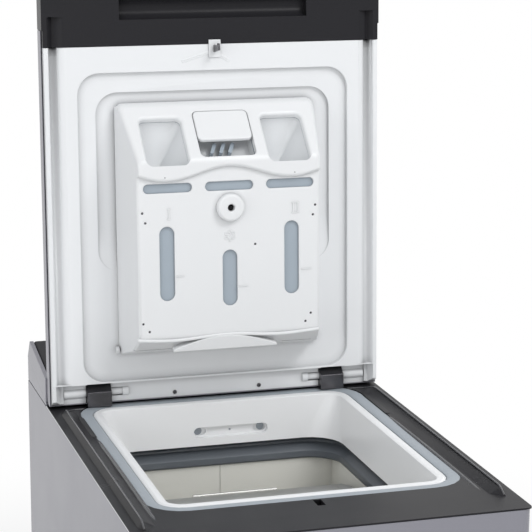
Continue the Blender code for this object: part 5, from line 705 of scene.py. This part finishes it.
hood = addStrip("hood", 58, lambda share: (hoodX(share), waveAt(hoodX(share))),
                lambda share: (hoodX(share), cover["blankEnd"]), hoodTop, hoodTop - cover["hoodBack"])
roundEdges(hood, cover["lipRound"], 5,
           lambda centre, run: abs(centre.z - hoodTop) < hair and abs(centre.y - waveAt(centre.x)) < 0.0004
           and abs(run.x) > abs(run.y))
carve(hood, coverPlanes(-0.00003, cover["hood"]) + endPlane(0.00002))
editAll(hood)
bpy.ops.mesh.dissolve_limited(angle_limit=0.004)
endEdit(hood)
roundEdges(hood, cover["cornerRound"], 6,
           lambda centre, run: abs(centre.x) > 0.11 and centre.y > cover["endReach"] - 0.003
           and abs(run.z) > 0.004 and abs(run.y) < 0.004)
roundEdges(hood, cover["slopeRound"], 5,
           lambda centre, run: onSlope(centre, cover["hood"]) and centre.z < hoodTop - 0.002)
roundEdges(hood, cover["crestRound"], 5,
           lambda centre, run: abs(centre.z - hoodTop) < hair
           and (abs(run.y) > abs(run.x) or centre.y > waveAt(centre.x) + cover["lipRound"] + 0.0011))
merge(dispenserCover, hood, "UNION")

hollow = addBlock("hollow", (-cover["blankHalf"], cover["bottom"] + cover["wall"], -0.02),
                  (cover["blankHalf"], cover["top"], cover["face"] - cover["wall"]))
carve(hollow, coverPlanes(-cover["wall"], -cover["wall"]))
merge(dispenserCover, hollow, "DIFFERENCE")

for step in (-1, 0, 1):
    half, low, high, rim = cover["mouthHalf"], cover["mouthFrom"], cover["mouthTo"], cover["mouthRim"]
    near, far = cover["outerWindow"]
    if step == 0:
        half, rim = cover["padHalf"] + cover["padGap"], cover["padHoleRim"]
        low, high = cover["padHoleFrom"], cover["padTo"] + cover["padGap"]
        near, far = cover["middleWindow"]
    cutAt(dispenserCover, rimCutter(2 * half, high - low, cover["mouthCorner"], rim, cover["mouthDepth"]),
          slopePlace(step * cover["mouthPitch"], (low + high) / 2, cover["hood"]))
    slot = rimCutter(cover["slotWide"], cover["slotTall"], cover["slotTall"] * 0.49, cover["slotRim"],
                     cover["faceDepth"])
    cutAt(dispenserCover, slot, facePlace(step * cover["slotPitch"], cover["slotReach"]))
    window = rimCutter(cover["windowWide"], far - near, cover["windowWide"] * 0.49, cover["windowRim"],
                       cover["faceDepth"], cornerSteps=9)
    cutAt(dispenserCover, window, facePlace(step * cover["windowPitch"], (near + far) / 2))

# Small round holes in the face. A dark disc sunk in each is painted shade for the dark inside of the hole.
holes = {"wide": 0.0027, "corner": 0.00134, "rim": 0.0007, "deep": 0.0012, "plug": 0.00145, "plugThick": 0.0005,
         "plugSunk": 0.0007, "at": (
             (-0.1009, 0.2170), (-0.0976, 0.2058), (-0.1018, 0.0913), (-0.0947, 0.0819), (0.1012, 0.2174),
             (0.0985, 0.2063), (0.0955, 0.0920), (0.0891, 0.0827), (0.0297, 0.1758))}
for x, reach in holes["at"]:
    hole = rimCutter(holes["wide"], holes["wide"], holes["corner"], holes["rim"], holes["deep"],
                     cornerSteps=4, rimSteps=3)
    cutAt(dispenserCover, hole, facePlace(x, reach))

# Two seams across the underside, which leans by the cosine and sine given in turn
seams = {"spans": ((-0.1105, -0.0655), (0.0655, 0.1015)), "half": 0.0006, "deep": 0.0018, "proud": 0.003,
         "shift": (0.0012, 0.0015), "turn": (0.6247, 0.7809)}
seamCos, seamSin = seams["turn"]
seamPlace = Matrix(((1, 0, 0, 0), (0, seamCos, -seamSin, 0), (0, seamSin, seamCos, 0), (0, 0, 0, 1)))
seamPlace.translation = (0, cover["underReach"] + seams["shift"][0], cover["underRise"] + seams["shift"][1])
for low, high in seams["spans"]:
    seam = addBlock("seam", (low, -seams["half"], -seams["deep"]), (high, seams["half"], seams["proud"]))
    cutAt(dispenserCover, seam, seamPlace)
dressOnLid(dispenserCover, "whitePlastic", "dispenser_front", True, angle=34)
print("dispenser cover is made", len(dispenserCover.data.polygons))


# Tray behind the cover, seen through the mouths, slots and windows, with a chute below each mouth

tray = {"gap": 0.0006, "backGap": 0.0005, "skin": 0.0003, "chuteCorner": 0.0068, "chuteTop": 0.002, "padFrom": 0.0030,
        "shallow": [(0.004, 1, 1, 0, 0), (0.007, 0.96, 0.80, 0, 0.002)],
        "chute": [(0.004, 1, 1, 0, 0), (0.010, 0.84, 0.84, -0.002, -0.002), (0.012, 0.72, 0.66, -0.003, -0.005),
                  (0.011, 0.5, 0.4, -0.004, -0.006)]}
wedges = {"wide": 0.0042, "long": 0.0150, "corner": 0.0012, "thick": 0.0080, "from": -0.0135, "pitch": 0.0105,
          "along": 0.0205, "out": -0.0045, "turn": -24}
trayInset = cover["wall"] + tray["gap"]


def addChute(step):
    half = cover["mouthHalf"] if step else cover["padHalf"]
    low, high = (cover["mouthFrom"], cover["mouthTo"]) if step else (tray["padFrom"], cover["padTo"])
    chute = addPlate("chute", 2 * half, high - low, tray["chuteCorner"], 6, tray["chuteTop"])
    taper(chute, tray["chute"] if step else tray["shallow"])
    return moveMesh(chute, slopePlace(step * cover["mouthPitch"], (low + high) / 2, tray["chuteTop"] - trayInset))


trayBody = addBlock("trayBody", (-cover["blankHalf"], cover["bottom"] + trayInset, cover["back"] + tray["backGap"]),
                    (cover["blankHalf"], cover["blankEnd"], cover["face"] - trayInset))
skinPlanes = coverPlanes(-trayInset, -trayInset)
carve(trayBody, skinPlanes)
for step in (-1, 0, 1):
    merge(trayBody, addChute(step), "DIFFERENCE")
for face in trayBody.data.polygons:
    deep = all((face.center - point).dot(outward) < -tray["skin"] for point, outward in skinPlanes)
    between = cover["back"] + 0.001 < face.center.z < cover["face"] - trayInset - tray["skin"]
    face.material_index = int(deep and between)
for rib in range(3):
    wedge = addPlate("wedge", wedges["wide"], wedges["long"], wedges["corner"], 3, wedges["thick"])
    moveMesh(wedge, slopePlace(wedges["from"] + wedges["pitch"] * rib, wedges["along"], wedges["out"])
             @ Matrix.Rotation(radians(wedges["turn"]), 4, "Z"))
    merge(trayBody, wedge, "UNION")
chuteFaces = [face.material_index for face in trayBody.data.polygons]
dressOnLid(trayBody, "trayPlastic", "dispenser_tray", True, angle=40)
addSecondFinish(trayBody, "trayWhite", chuteFaces)
print("tray is made")

pad = addPlate("pressPad", 2 * cover["padHalf"], cover["padTo"] - cover["padFrom"], cover["padCorner"], 6,
               cover["padThick"], cover["padRound"], 4)
moveMesh(pad, slopePlace(0, (cover["padFrom"] + cover["padTo"]) / 2, cover["hood"] + cover["padProud"]))
dressOnLid(pad, "whitePlastic", "release_pad", True)


# Boss with a dark bore and a screw head in it

boss = {"reach": 0.2197, "radius": 0.0158, "tall": 0.0085, "round": 0.0036, "gap": 0.0003, "bore": 0.0078,
        "boreCorner": 0.00389, "boreRim": 0.0022, "boreDeep": 0.0044,
        "screw": 0.0036, "screwThick": 0.0012, "screwRound": 0.0003, "screwOut": 0.0026,
        "socket": ((0.0013, -0.0002), (0.0001, 0.0008))}


def onRing(centre, run):
    return onTop(centre, run) and abs(run.z) < hair


roundBoss = addCylinder("roundBoss", 64, boss["radius"], boss["tall"])
moveMesh(roundBoss, Matrix.Translation((0, 0, -boss["tall"] / 2)))
roundEdges(roundBoss, boss["round"], 5, onRing)
merge(roundBoss, rimCutter(boss["bore"], boss["bore"], boss["boreCorner"], boss["boreRim"], boss["boreDeep"],
                           cornerSteps=9), "DIFFERENCE")
moveMesh(roundBoss, Matrix.Translation((0, boss["reach"], cover["face"] + boss["gap"] + boss["tall"])))
dressOnLid(roundBoss, "whitePlastic", "dispenser_boss", True)

bossScrew = addCylinder("bossScrew", 32, boss["screw"], boss["screwThick"])
roundEdges(bossScrew, boss["screwRound"], 2, lambda centre, run: centre.z > 0.0005 and onRing(centre, run))
selectParts(bossScrew, "FACE", lambda centre, normal: centre.z > 0.0005 and normal.z > 0.99)
for wall, depth in boss["socket"]:
    bpy.ops.mesh.inset(thickness=wall, depth=depth)
endEdit(bossScrew)
moveMesh(bossScrew, facePlace(0, boss["reach"], boss["screwOut"]))
dressOnLid(bossScrew, "darkPlastic", "dispenser_boss")
print("pad and boss are made")


# Raised marks on the cover's face: two numerals, level ticks and a rosette. Then the dark discs painted as shade in
# the holes, and two pins.

marks = {"proud": 0.0009, "thick": 0.0014, "round": 0.00022, "stroke": 0.0014, "tall": 0.0116, "serif": 0.0040,
         "serifTall": 0.0010, "doubleSerif": 0.005,
         "strokes": ((-0.0706, 0.2149), (0.0748, 0.2157), (0.0802, 0.2157)),
         "numerals": ((-0.0706, 0.2149), (0.0775, 0.2157)), "tickTall": 0.0011,
         "ticks": ((-0.0631, -0.0538, 0.1438), (0.0080, 0.0201, 0.1284), (0.0842, 0.0963, 0.1442)),
         "rosetteReach": 0.1869, "petalOut": 0.0047, "petal": 0.0017, "petalWire": 0.00062,
         "bud": 0.0011, "budSunk": 0.0004, "pin": 0.00105, "pinAt": (0.0755, 0.2566), "pinSunk": 0.0008}


def addBar(x, reach, wide, tall):
    bar = addPlate("bar", wide, tall, min(wide, tall) * 0.3, 3, marks["thick"], marks["round"], 2)
    return moveMesh(bar, facePlace(x, reach, marks["proud"]))


markPieces = [addBar(x, reach, marks["stroke"], marks["tall"]) for x, reach in marks["strokes"]]
for x, reach in marks["numerals"]:
    wide = marks["serif"] if x < 0 else marks["serif"] + marks["doubleSerif"]
    markPieces += [addBar(x, reach + end * marks["tall"] / 2, wide, marks["serifTall"]) for end in (-1, 1)]
markPieces += [addBar((low + high) / 2, reach, high - low, marks["tickTall"]) for low, high, reach in marks["ticks"]]
for petal in range(6):
    turn = pi / 3 * petal + pi / 6
    place = (marks["petalOut"] * cos(turn), marks["rosetteReach"] + marks["petalOut"] * sin(turn), cover["face"])
    bpy.ops.mesh.primitive_torus_add(major_radius=marks["petal"], minor_radius=marks["petalWire"], major_segments=20,
                                     minor_segments=8, location=place)
    markPieces.append(newPiece("petal"))
markPieces.append(addBall(marks["bud"], (0, marks["rosetteReach"], cover["face"] - marks["budSunk"])))
dressOnLid(joinPieces("faceMarks", markPieces), "whitePlastic", "dispenser_front")

# Painted shade: dark discs sunk in the holes
holeShadesAndPins = [addCylinder("plug", 20, holes["plug"], holes["plugThick"], (x, reach, cover["face"] - holes["plugSunk"]))
         for x, reach in holes["at"]]
holeShadesAndPins += [addBall(marks["pin"], (side * marks["pinAt"][0], marks["pinAt"][1], hoodTop - marks["pinSunk"]))
          for side in (-1, 1)]
dressOnLid(joinPieces("holePlugs", holeShadesAndPins), "darkSteel", "dispenser_front")


# Wavy bead along the lower edge of the face, and the lens-shaped tongue below it

lip = {"reach": 0.0720, "swing": 0.0017, "length": 0.128, "start": 0.0035, "half": 0.0019, "proud": 0.0017,
       "from": -0.1088, "to": 0.1050, "thick": 0.0042, "round": 0.0014}
tongue = {"side": -0.0060, "half": 0.0607, "end": 0.0030, "tall": 0.0168, "thick": 0.0090, "round": 0.0011,
          "reach": 0.0565, "from": 0.0572, "to": 0.0600}
beadTop, tongueBulge = cover["face"] + lip["proud"], tongue["tall"] - tongue["end"]


def lipAt(x):
    return lip["reach"] + lip["swing"] * cos(2 * pi * (x + lip["start"]) / lip["length"])


def alongLip(share, offset):
    x = lip["from"] + (lip["to"] - lip["from"]) * share
    return x, lipAt(x) + offset


def tongueX(share):
    return tongue["side"] + tongue["half"] * (2 * share - 1)


# Edges on the bead's top that run along its sides or close its ends
def onBeadRim(centre, run):
    outer = abs(centre.y - lipAt(centre.x)) > lip["half"] * 0.8 or abs(run.y) > abs(run.x) * 3
    atEnd = centre.x < lip["from"] + 0.0001 or centre.x > lip["to"] - 0.0001
    return centre.z > beadTop - hair and outer and (abs(run.x) > abs(run.y) or atEnd)


def onTongueRim(centre, run):
    curve = tongueBulge * cos(pi / 2 * (centre.x - tongue["side"]) / tongue["half"]) * 0.98
    outer = abs(run.y) < abs(run.x) and centre.y > tongue["end"] - 0.0002 + curve
    return onTop(centre, run) and (centre.y < hair or outer
                                   or abs(centre.x - tongue["side"]) > tongue["half"] - hair)


beadPiece = addStrip("lipBead", 60, lambda share: alongLip(share, -lip["half"]),
                     lambda share: alongLip(share, lip["half"]), beadTop, lip["thick"])
roundEdges(beadPiece, lip["round"], 4, onBeadRim)
tonguePiece = addStrip("tongue", 40, lambda share: (tongueX(share), 0),
                       lambda share: (tongueX(share), tongue["end"] + tongueBulge * sin(pi * share)),
                       0, tongue["thick"])
roundEdges(tonguePiece, tongue["round"], 4, onTongueRim)
along = Vector((0, tongue["tall"], tongue["to"] - tongue["from"])).normalized()
tonguePlace = Matrix((Vector((1, 0, 0)), along, Vector((0, -along.z, along.y)))).transposed().to_4x4()
tonguePlace.translation = (0, tongue["reach"], tongue["from"])
moveMesh(tonguePiece, tonguePlace)
dressOnLid(joinPieces("dispenserLip", [beadPiece, tonguePiece]), "whitePlastic", "dispenser_front", angle=40)
print("marks and lip are made")


# Inner side of the lid: two sunk steps, a deep groove along each side, ears, ribs and screws

liner = {"half": 0.1950, "near": 0.0125, "far": 0.3985, "thick": 0.0143, "field": (0.1595, 0.0140, 0.3694),
         "fieldDepth": 0.0050, "upper": (0.1386, 0.1420, 0.3472), "upperDepth": 0.0042, "upperBlank": 0.02,
         "upperDrop": 0.0005, "rampRun": 0.050, "rampLift": 0.0001,
         "corner": 0.0250, "rim": 0.0007, "draft": 0.0005, "cutterProud": 0.03,
         "earSpace": ((-0.13, 0.03, 0.0001), (0.13, 0.07, 0.03)),
         "earAt": (0.1194, 0.0510, -0.0008), "earRadius": 0.0042, "earThick": 0.0040, "earRound": 0.0007}
groovePlan = {"at": 0.1852, "from": 0.0135, "to": 0.41, "profile": (
    (-0.0125, 0.001), (-0.0120, 0), (-0.0085, -0.0008), (-0.0058, -0.0030), (-0.0035, -0.0064), (-0.0012, -0.0086),
    (0.0012, -0.0090), (0.0032, -0.0078), (0.0046, -0.0048), (0.0058, -0.0014), (0.0066, 0), (0.0068, 0.001))}


def addRun(name, outline, low, high):
    deselectAll()
    bpy.ops.mesh.primitive_circle_add(vertices=len(outline), fill_type="NGON")
    run = bpy.context.object
    run.name = name
    for vertex, (x, rise) in zip(run.data.vertices, outline):
        vertex.co = (x, low, rise)
    editAll(run)
    pull(0, high - low, 0)
    return endEdit(run)


def stepCutter(half, near, far, depth):
    rim = liner["rim"]
    cutter = addPlate("stepCutter", 2 * (half + rim), far - near + 2 * rim, liner["corner"] + rim, 10,
                      liner["cutterProud"])
    sink(cutter, roundSteps(rim, 3) + [(liner["draft"], depth - rim)])
    endEdit(editAll(cutter))
    return moveMesh(cutter, Matrix.Translation((0, (near + far) / 2, liner["cutterProud"])))


linerPanel = softCopy("lid_inner", "linerPanel", 0.0006)
moveMesh(linerPanel, lidPlace.inverted())
merge(linerPanel, addBlock("earSpace", *liner["earSpace"]), "DIFFERENCE")
merge(linerPanel, addBlock("board", (-liner["half"], liner["near"], -liner["thick"]),
                           (liner["half"], liner["far"], 0)), "UNION")
merge(linerPanel, stepCutter(*liner["field"], liner["fieldDepth"]), "DIFFERENCE")
upperCutter = stepCutter(*liner["upper"], liner["upperBlank"])
moveMesh(upperCutter, Matrix.Translation((0, 0, -liner["upperDrop"])))
ramp = Vector((0, -liner["upperDepth"], -liner["rampRun"])).normalized()
carve(upperCutter, [(Vector((0, 0, -liner["fieldDepth"] - liner["upperDepth"])), Vector((0, 0, -1))),
                    (Vector((0, liner["upper"][1], -liner["fieldDepth"] + liner["rampLift"])), ramp)])
merge(linerPanel, upperCutter, "DIFFERENCE")
for side in (-1, 1):
    groove = addRun("groove", [(side * (groovePlan["at"] + x), rise) for x, rise in groovePlan["profile"]],
                    groovePlan["from"], groovePlan["to"])
    merge(linerPanel, groove, "DIFFERENCE")
    ear = addCylinder("ear", 32, liner["earRadius"], liner["earThick"],
                      (side * liner["earAt"][0], *liner["earAt"][1:]), (0, pi / 2, 0))
    roundEdges(ear, liner["earRound"], 3, lambda centre, run: abs(run.x) < hair)
    merge(linerPanel, ear, "UNION")
dressOnLid(linerPanel, "linerWhite", "lid_inner", True, angle=38)

ribPlan = {"runs": (((-0.0029, 0.3911), (-0.0370, 0.3807)), ((-0.0029, 0.3911), (0.0159, 0.3804))),
           "over": 0.006, "wide": 0.0062, "corner": 0.0030, "thick": 0.0030, "round": 0.0022, "rise": 0.0005}
ribs = []
for start, end in ribPlan["runs"]:
    length = sqrt((end[0] - start[0]) ** 2 + (end[1] - start[1]) ** 2)
    rib = addPlate("rib", length + ribPlan["over"], ribPlan["wide"], ribPlan["corner"], 5, ribPlan["thick"],
                   ribPlan["round"], 5)
    turn = atan2(end[1] - start[1], end[0] - start[0])
    ribs.append(moveMesh(rib, Matrix.Translation(((start[0] + end[0]) / 2, (start[1] + end[1]) / 2, ribPlan["rise"]))
                         @ Matrix.Rotation(turn, 4, "Z")))
dressOnLid(joinPieces("linerRibs", ribs), "linerWhite", "lid_inner")

screwPlan = {"at": ((-0.0503, -0.0062), (0.0523, -0.0056)), "radius": 0.0024, "thick": 0.0016, "rise": -0.0098,
             "topFrom": -0.00905,
             "round": 0.0005, "cross": (0.0016, 0.00035), "crossFrom": -0.0096, "crossTo": -0.008}
screwHeads = []
for x, reach in screwPlan["at"]:
    screwHead = addCylinder("screwHead", 28, screwPlan["radius"], screwPlan["thick"], (x, reach, screwPlan["rise"]))
    roundEdges(screwHead, screwPlan["round"], 3, lambda centre, run: centre.z > screwPlan["topFrom"])
    for across, up in (screwPlan["cross"], screwPlan["cross"][::-1]):
        cross = addBlock("cross", (x - across, reach - up, screwPlan["crossFrom"]),
                         (x + across, reach + up, screwPlan["crossTo"]))
        merge(screwHead, cross, "DIFFERENCE")
    screwHeads.append(screwHead)
dressOnLid(joinPieces("linerScrews", screwHeads), "darkSteel", "lid_inner")
print("inner side of the lid is made")


# Small dark hook on a white plate, at the far end of the lid

hookPiece = softCopy("lid_hook", "hookPiece", 0.0003)
moveMesh(hookPiece, lidPlace.inverted())
plateTop = 0.0016
hookFaces = [int(face.center.z > plateTop) for face in hookPiece.data.polygons]
moveMesh(hookPiece, lidPlace)
dress(hookPiece, "linerWhite", "lid_hook", True)
addSecondFinish(hookPiece, "darkSteel", hookFaces)


# Painted highlight: a thin white bead along the top of each side panel stands in for the light caught by the panel's
# folded edge

trim = {"x": 0.1990, "z": 0.8479, "from": -0.2960, "to": 0.1800, "radius": 0.0009, "round": 0.0005}
highlightBeads = []
for side in (-1, 1):
    edgeBead = addCylinder("edgeBead", 16, trim["radius"], trim["to"] - trim["from"],
                           (side * trim["x"], (trim["to"] + trim["from"]) / 2, trim["z"]), (pi / 2, 0, 0))
    highlightBeads.append(roundEdges(edgeBead, trim["round"], 2, lambda centre, run: abs(run.y) < hair))
panelTrims = smoothFaces(joinPieces("panelTrims", highlightBeads), 50)
# White, as painted highlight on the silver panel's edge
dress(panelTrims, "linerWhite", "side_panel_left")


# Rim of the raised surround on the top frame, a glossy bead at its foot, and a black pocket near each bracket

surround = {
    "rim": ((0.1855, -0.2590, 0.8500), (0.1855, -0.2490, 0.8562), (0.1855, -0.2350, 0.8564), (0.1855, 0.0, 0.8564),
            (0.1855, 0.1220, 0.8564), (0.1852, 0.1350, 0.8552), (0.1835, 0.1440, 0.8512), (0.1790, 0.1500, 0.8497),
            (0.1710, 0.1530, 0.8494), (0.1600, 0.1536, 0.8492)),
    "foot": ((0.1690, -0.2560, 0.8450), (0.1690, -0.2400, 0.8480), (0.1690, 0.0200, 0.8480),
             (0.1692, 0.0380, 0.8450)),
    "rimRadius": 0.0010, "footRadius": 0.0030, "pocket": (0.1716, 0.0800, 0.8502), "pocketSize": (0.0066, 0.0760),
    "pocketCorner": 0.0030, "pocketThick": 0.0024, "pocketRound": 0.0006,
}


def addBead(name, points, radius):
    deselectAll()
    bpy.ops.curve.primitive_nurbs_path_add(location=(0, 0, 0))
    wire = bpy.context.object
    wire.name = name
    spline = wire.data.splines[0]
    spline.points.add(max(0, len(points) - len(spline.points)))
    for index, point in enumerate(spline.points):
        point.co = (*points[min(index, len(points) - 1)], 1)
    spline.order_u, spline.resolution_u = 3, 8
    spline.use_endpoint_u = True
    wire.data.bevel_depth, wire.data.bevel_resolution, wire.data.use_fill_caps = radius, 4, True
    bpy.ops.object.convert(target="MESH")
    return endEdit(editAll(wire))


rims, pockets = [], []
for side in (-1, 1):
    rims += [addBead(name, [(side * x, y, z) for x, y, z in surround[name]], surround[name + "Radius"])
             for name in ("rim", "foot")]
    pocket = addPlate("pocket", *surround["pocketSize"], surround["pocketCorner"], 5, surround["pocketThick"],
                      surround["pocketRound"], 3)
    pockets.append(moveMesh(pocket, Matrix.Translation((side * surround["pocket"][0], *surround["pocket"][1:]))))
surroundRims = smoothFaces(joinPieces("surroundRims", rims), 50)
dress(surroundRims, "gloss", "top_frame")
framePockets = smoothFaces(joinPieces("framePockets", pockets))
dress(framePockets, "blackPlastic", "top_frame")


# Painted shade: grey discs on the well's rear wall stand for the dark hollows at the ends of its oblong recess, and a
# small one between them for a small hole

recess = {"centre": 0.0125, "pitch": 0.0380, "y": 0.1532, "holeY": 0.1497, "z": 0.8120, "radius": 0.0046,
          "holeRadius": 0.0012, "thick": 0.0006, "sunk": -0.0002}
hollowShades = []
for step in (-1, 0, 1):
    y, radius = (recess["y"], recess["radius"]) if step else (recess["holeY"], recess["holeRadius"])
    mark = addCylinder("recessHollow", 32, radius, recess["thick"],
                       (recess["centre"] + step * recess["pitch"], y, recess["z"]), (pi / 2, 0, 0))
    selectParts(mark, "FACE", lambda centre, normal: normal.y < -0.9)
    bpy.ops.mesh.inset(thickness=radius * 0.3, depth=recess["sunk"])
    hollowShades.append(endEdit(mark))
recessHollows = smoothFaces(joinPieces("recessHollows", hollowShades))
dress(recessHollows, "gasketRubber", "well_funnel")
print("hook, trims and recess are made")


# The other nodes, each as a copy with edges rounded by this width. Wire with width 0 is rounded as a whole.

edgeNodes = {
    0: "spring_front_left spring_front_right spring_rear_left spring_rear_right",
    0.0002: "control_board",
    0.0003: "rear_panel motor_pulley rotor_shaft drum_shell drum_latch damper_rod_front damper_rod_rear "
            "drive_belt heater",
    0.0004: "door_lock hinge_bracket_left hinge_bracket_right start_button option_button inlet_valve "
            "drum_door_front drum_door_rear sump_hose",
    0.0005: "hinge_pin_left hinge_pin_right",
    0.0006: "base_frame lid_gasket program_knob lid_skin lid_handle drum_end_left drum_end_right drum_pulley "
            "pump_filter filter_flap damper_cylinder_front damper_cylinder_rear bellows",
    0.0008: "side_panel_left side_panel_right well_funnel console_base tub_half_left tub_half_right motor_body "
            "drain_pump front_foot_left front_foot_right",
    0.0010: "front_panel",
    0.0012: "top_frame console_end_left console_end_right",
    0.0016: "console_panel",
    0.0020: "counterweight",
}
edgeWidths = {node: width for width, nodes in edgeNodes.items() for node in nodes.split()}
# The well funnel gets the lighter white, painted light for its shaded inside
ownFinish = {"well_funnel": "wellWhite"}
wireWidth = 0.00001


# A slot such as silver_paint has its finish under silverPaint
def finishOf(node):
    first, *rest = slotOf(node).split("_")
    return first + "".join(word.title() for word in rest)


for node, width in edgeWidths.items():
    piece = softCopy(node, node + "_dressed", width or wireWidth)
    if not width:
        applyModifier(piece, "SUBSURF", levels=1, render_levels=1)
        bpy.ops.object.shade_smooth()
    dress(piece, ownFinish.get(node, finishOf(node)), node, True)
    if node in softSpan:
        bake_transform(piece)
print("nodes are dressed")
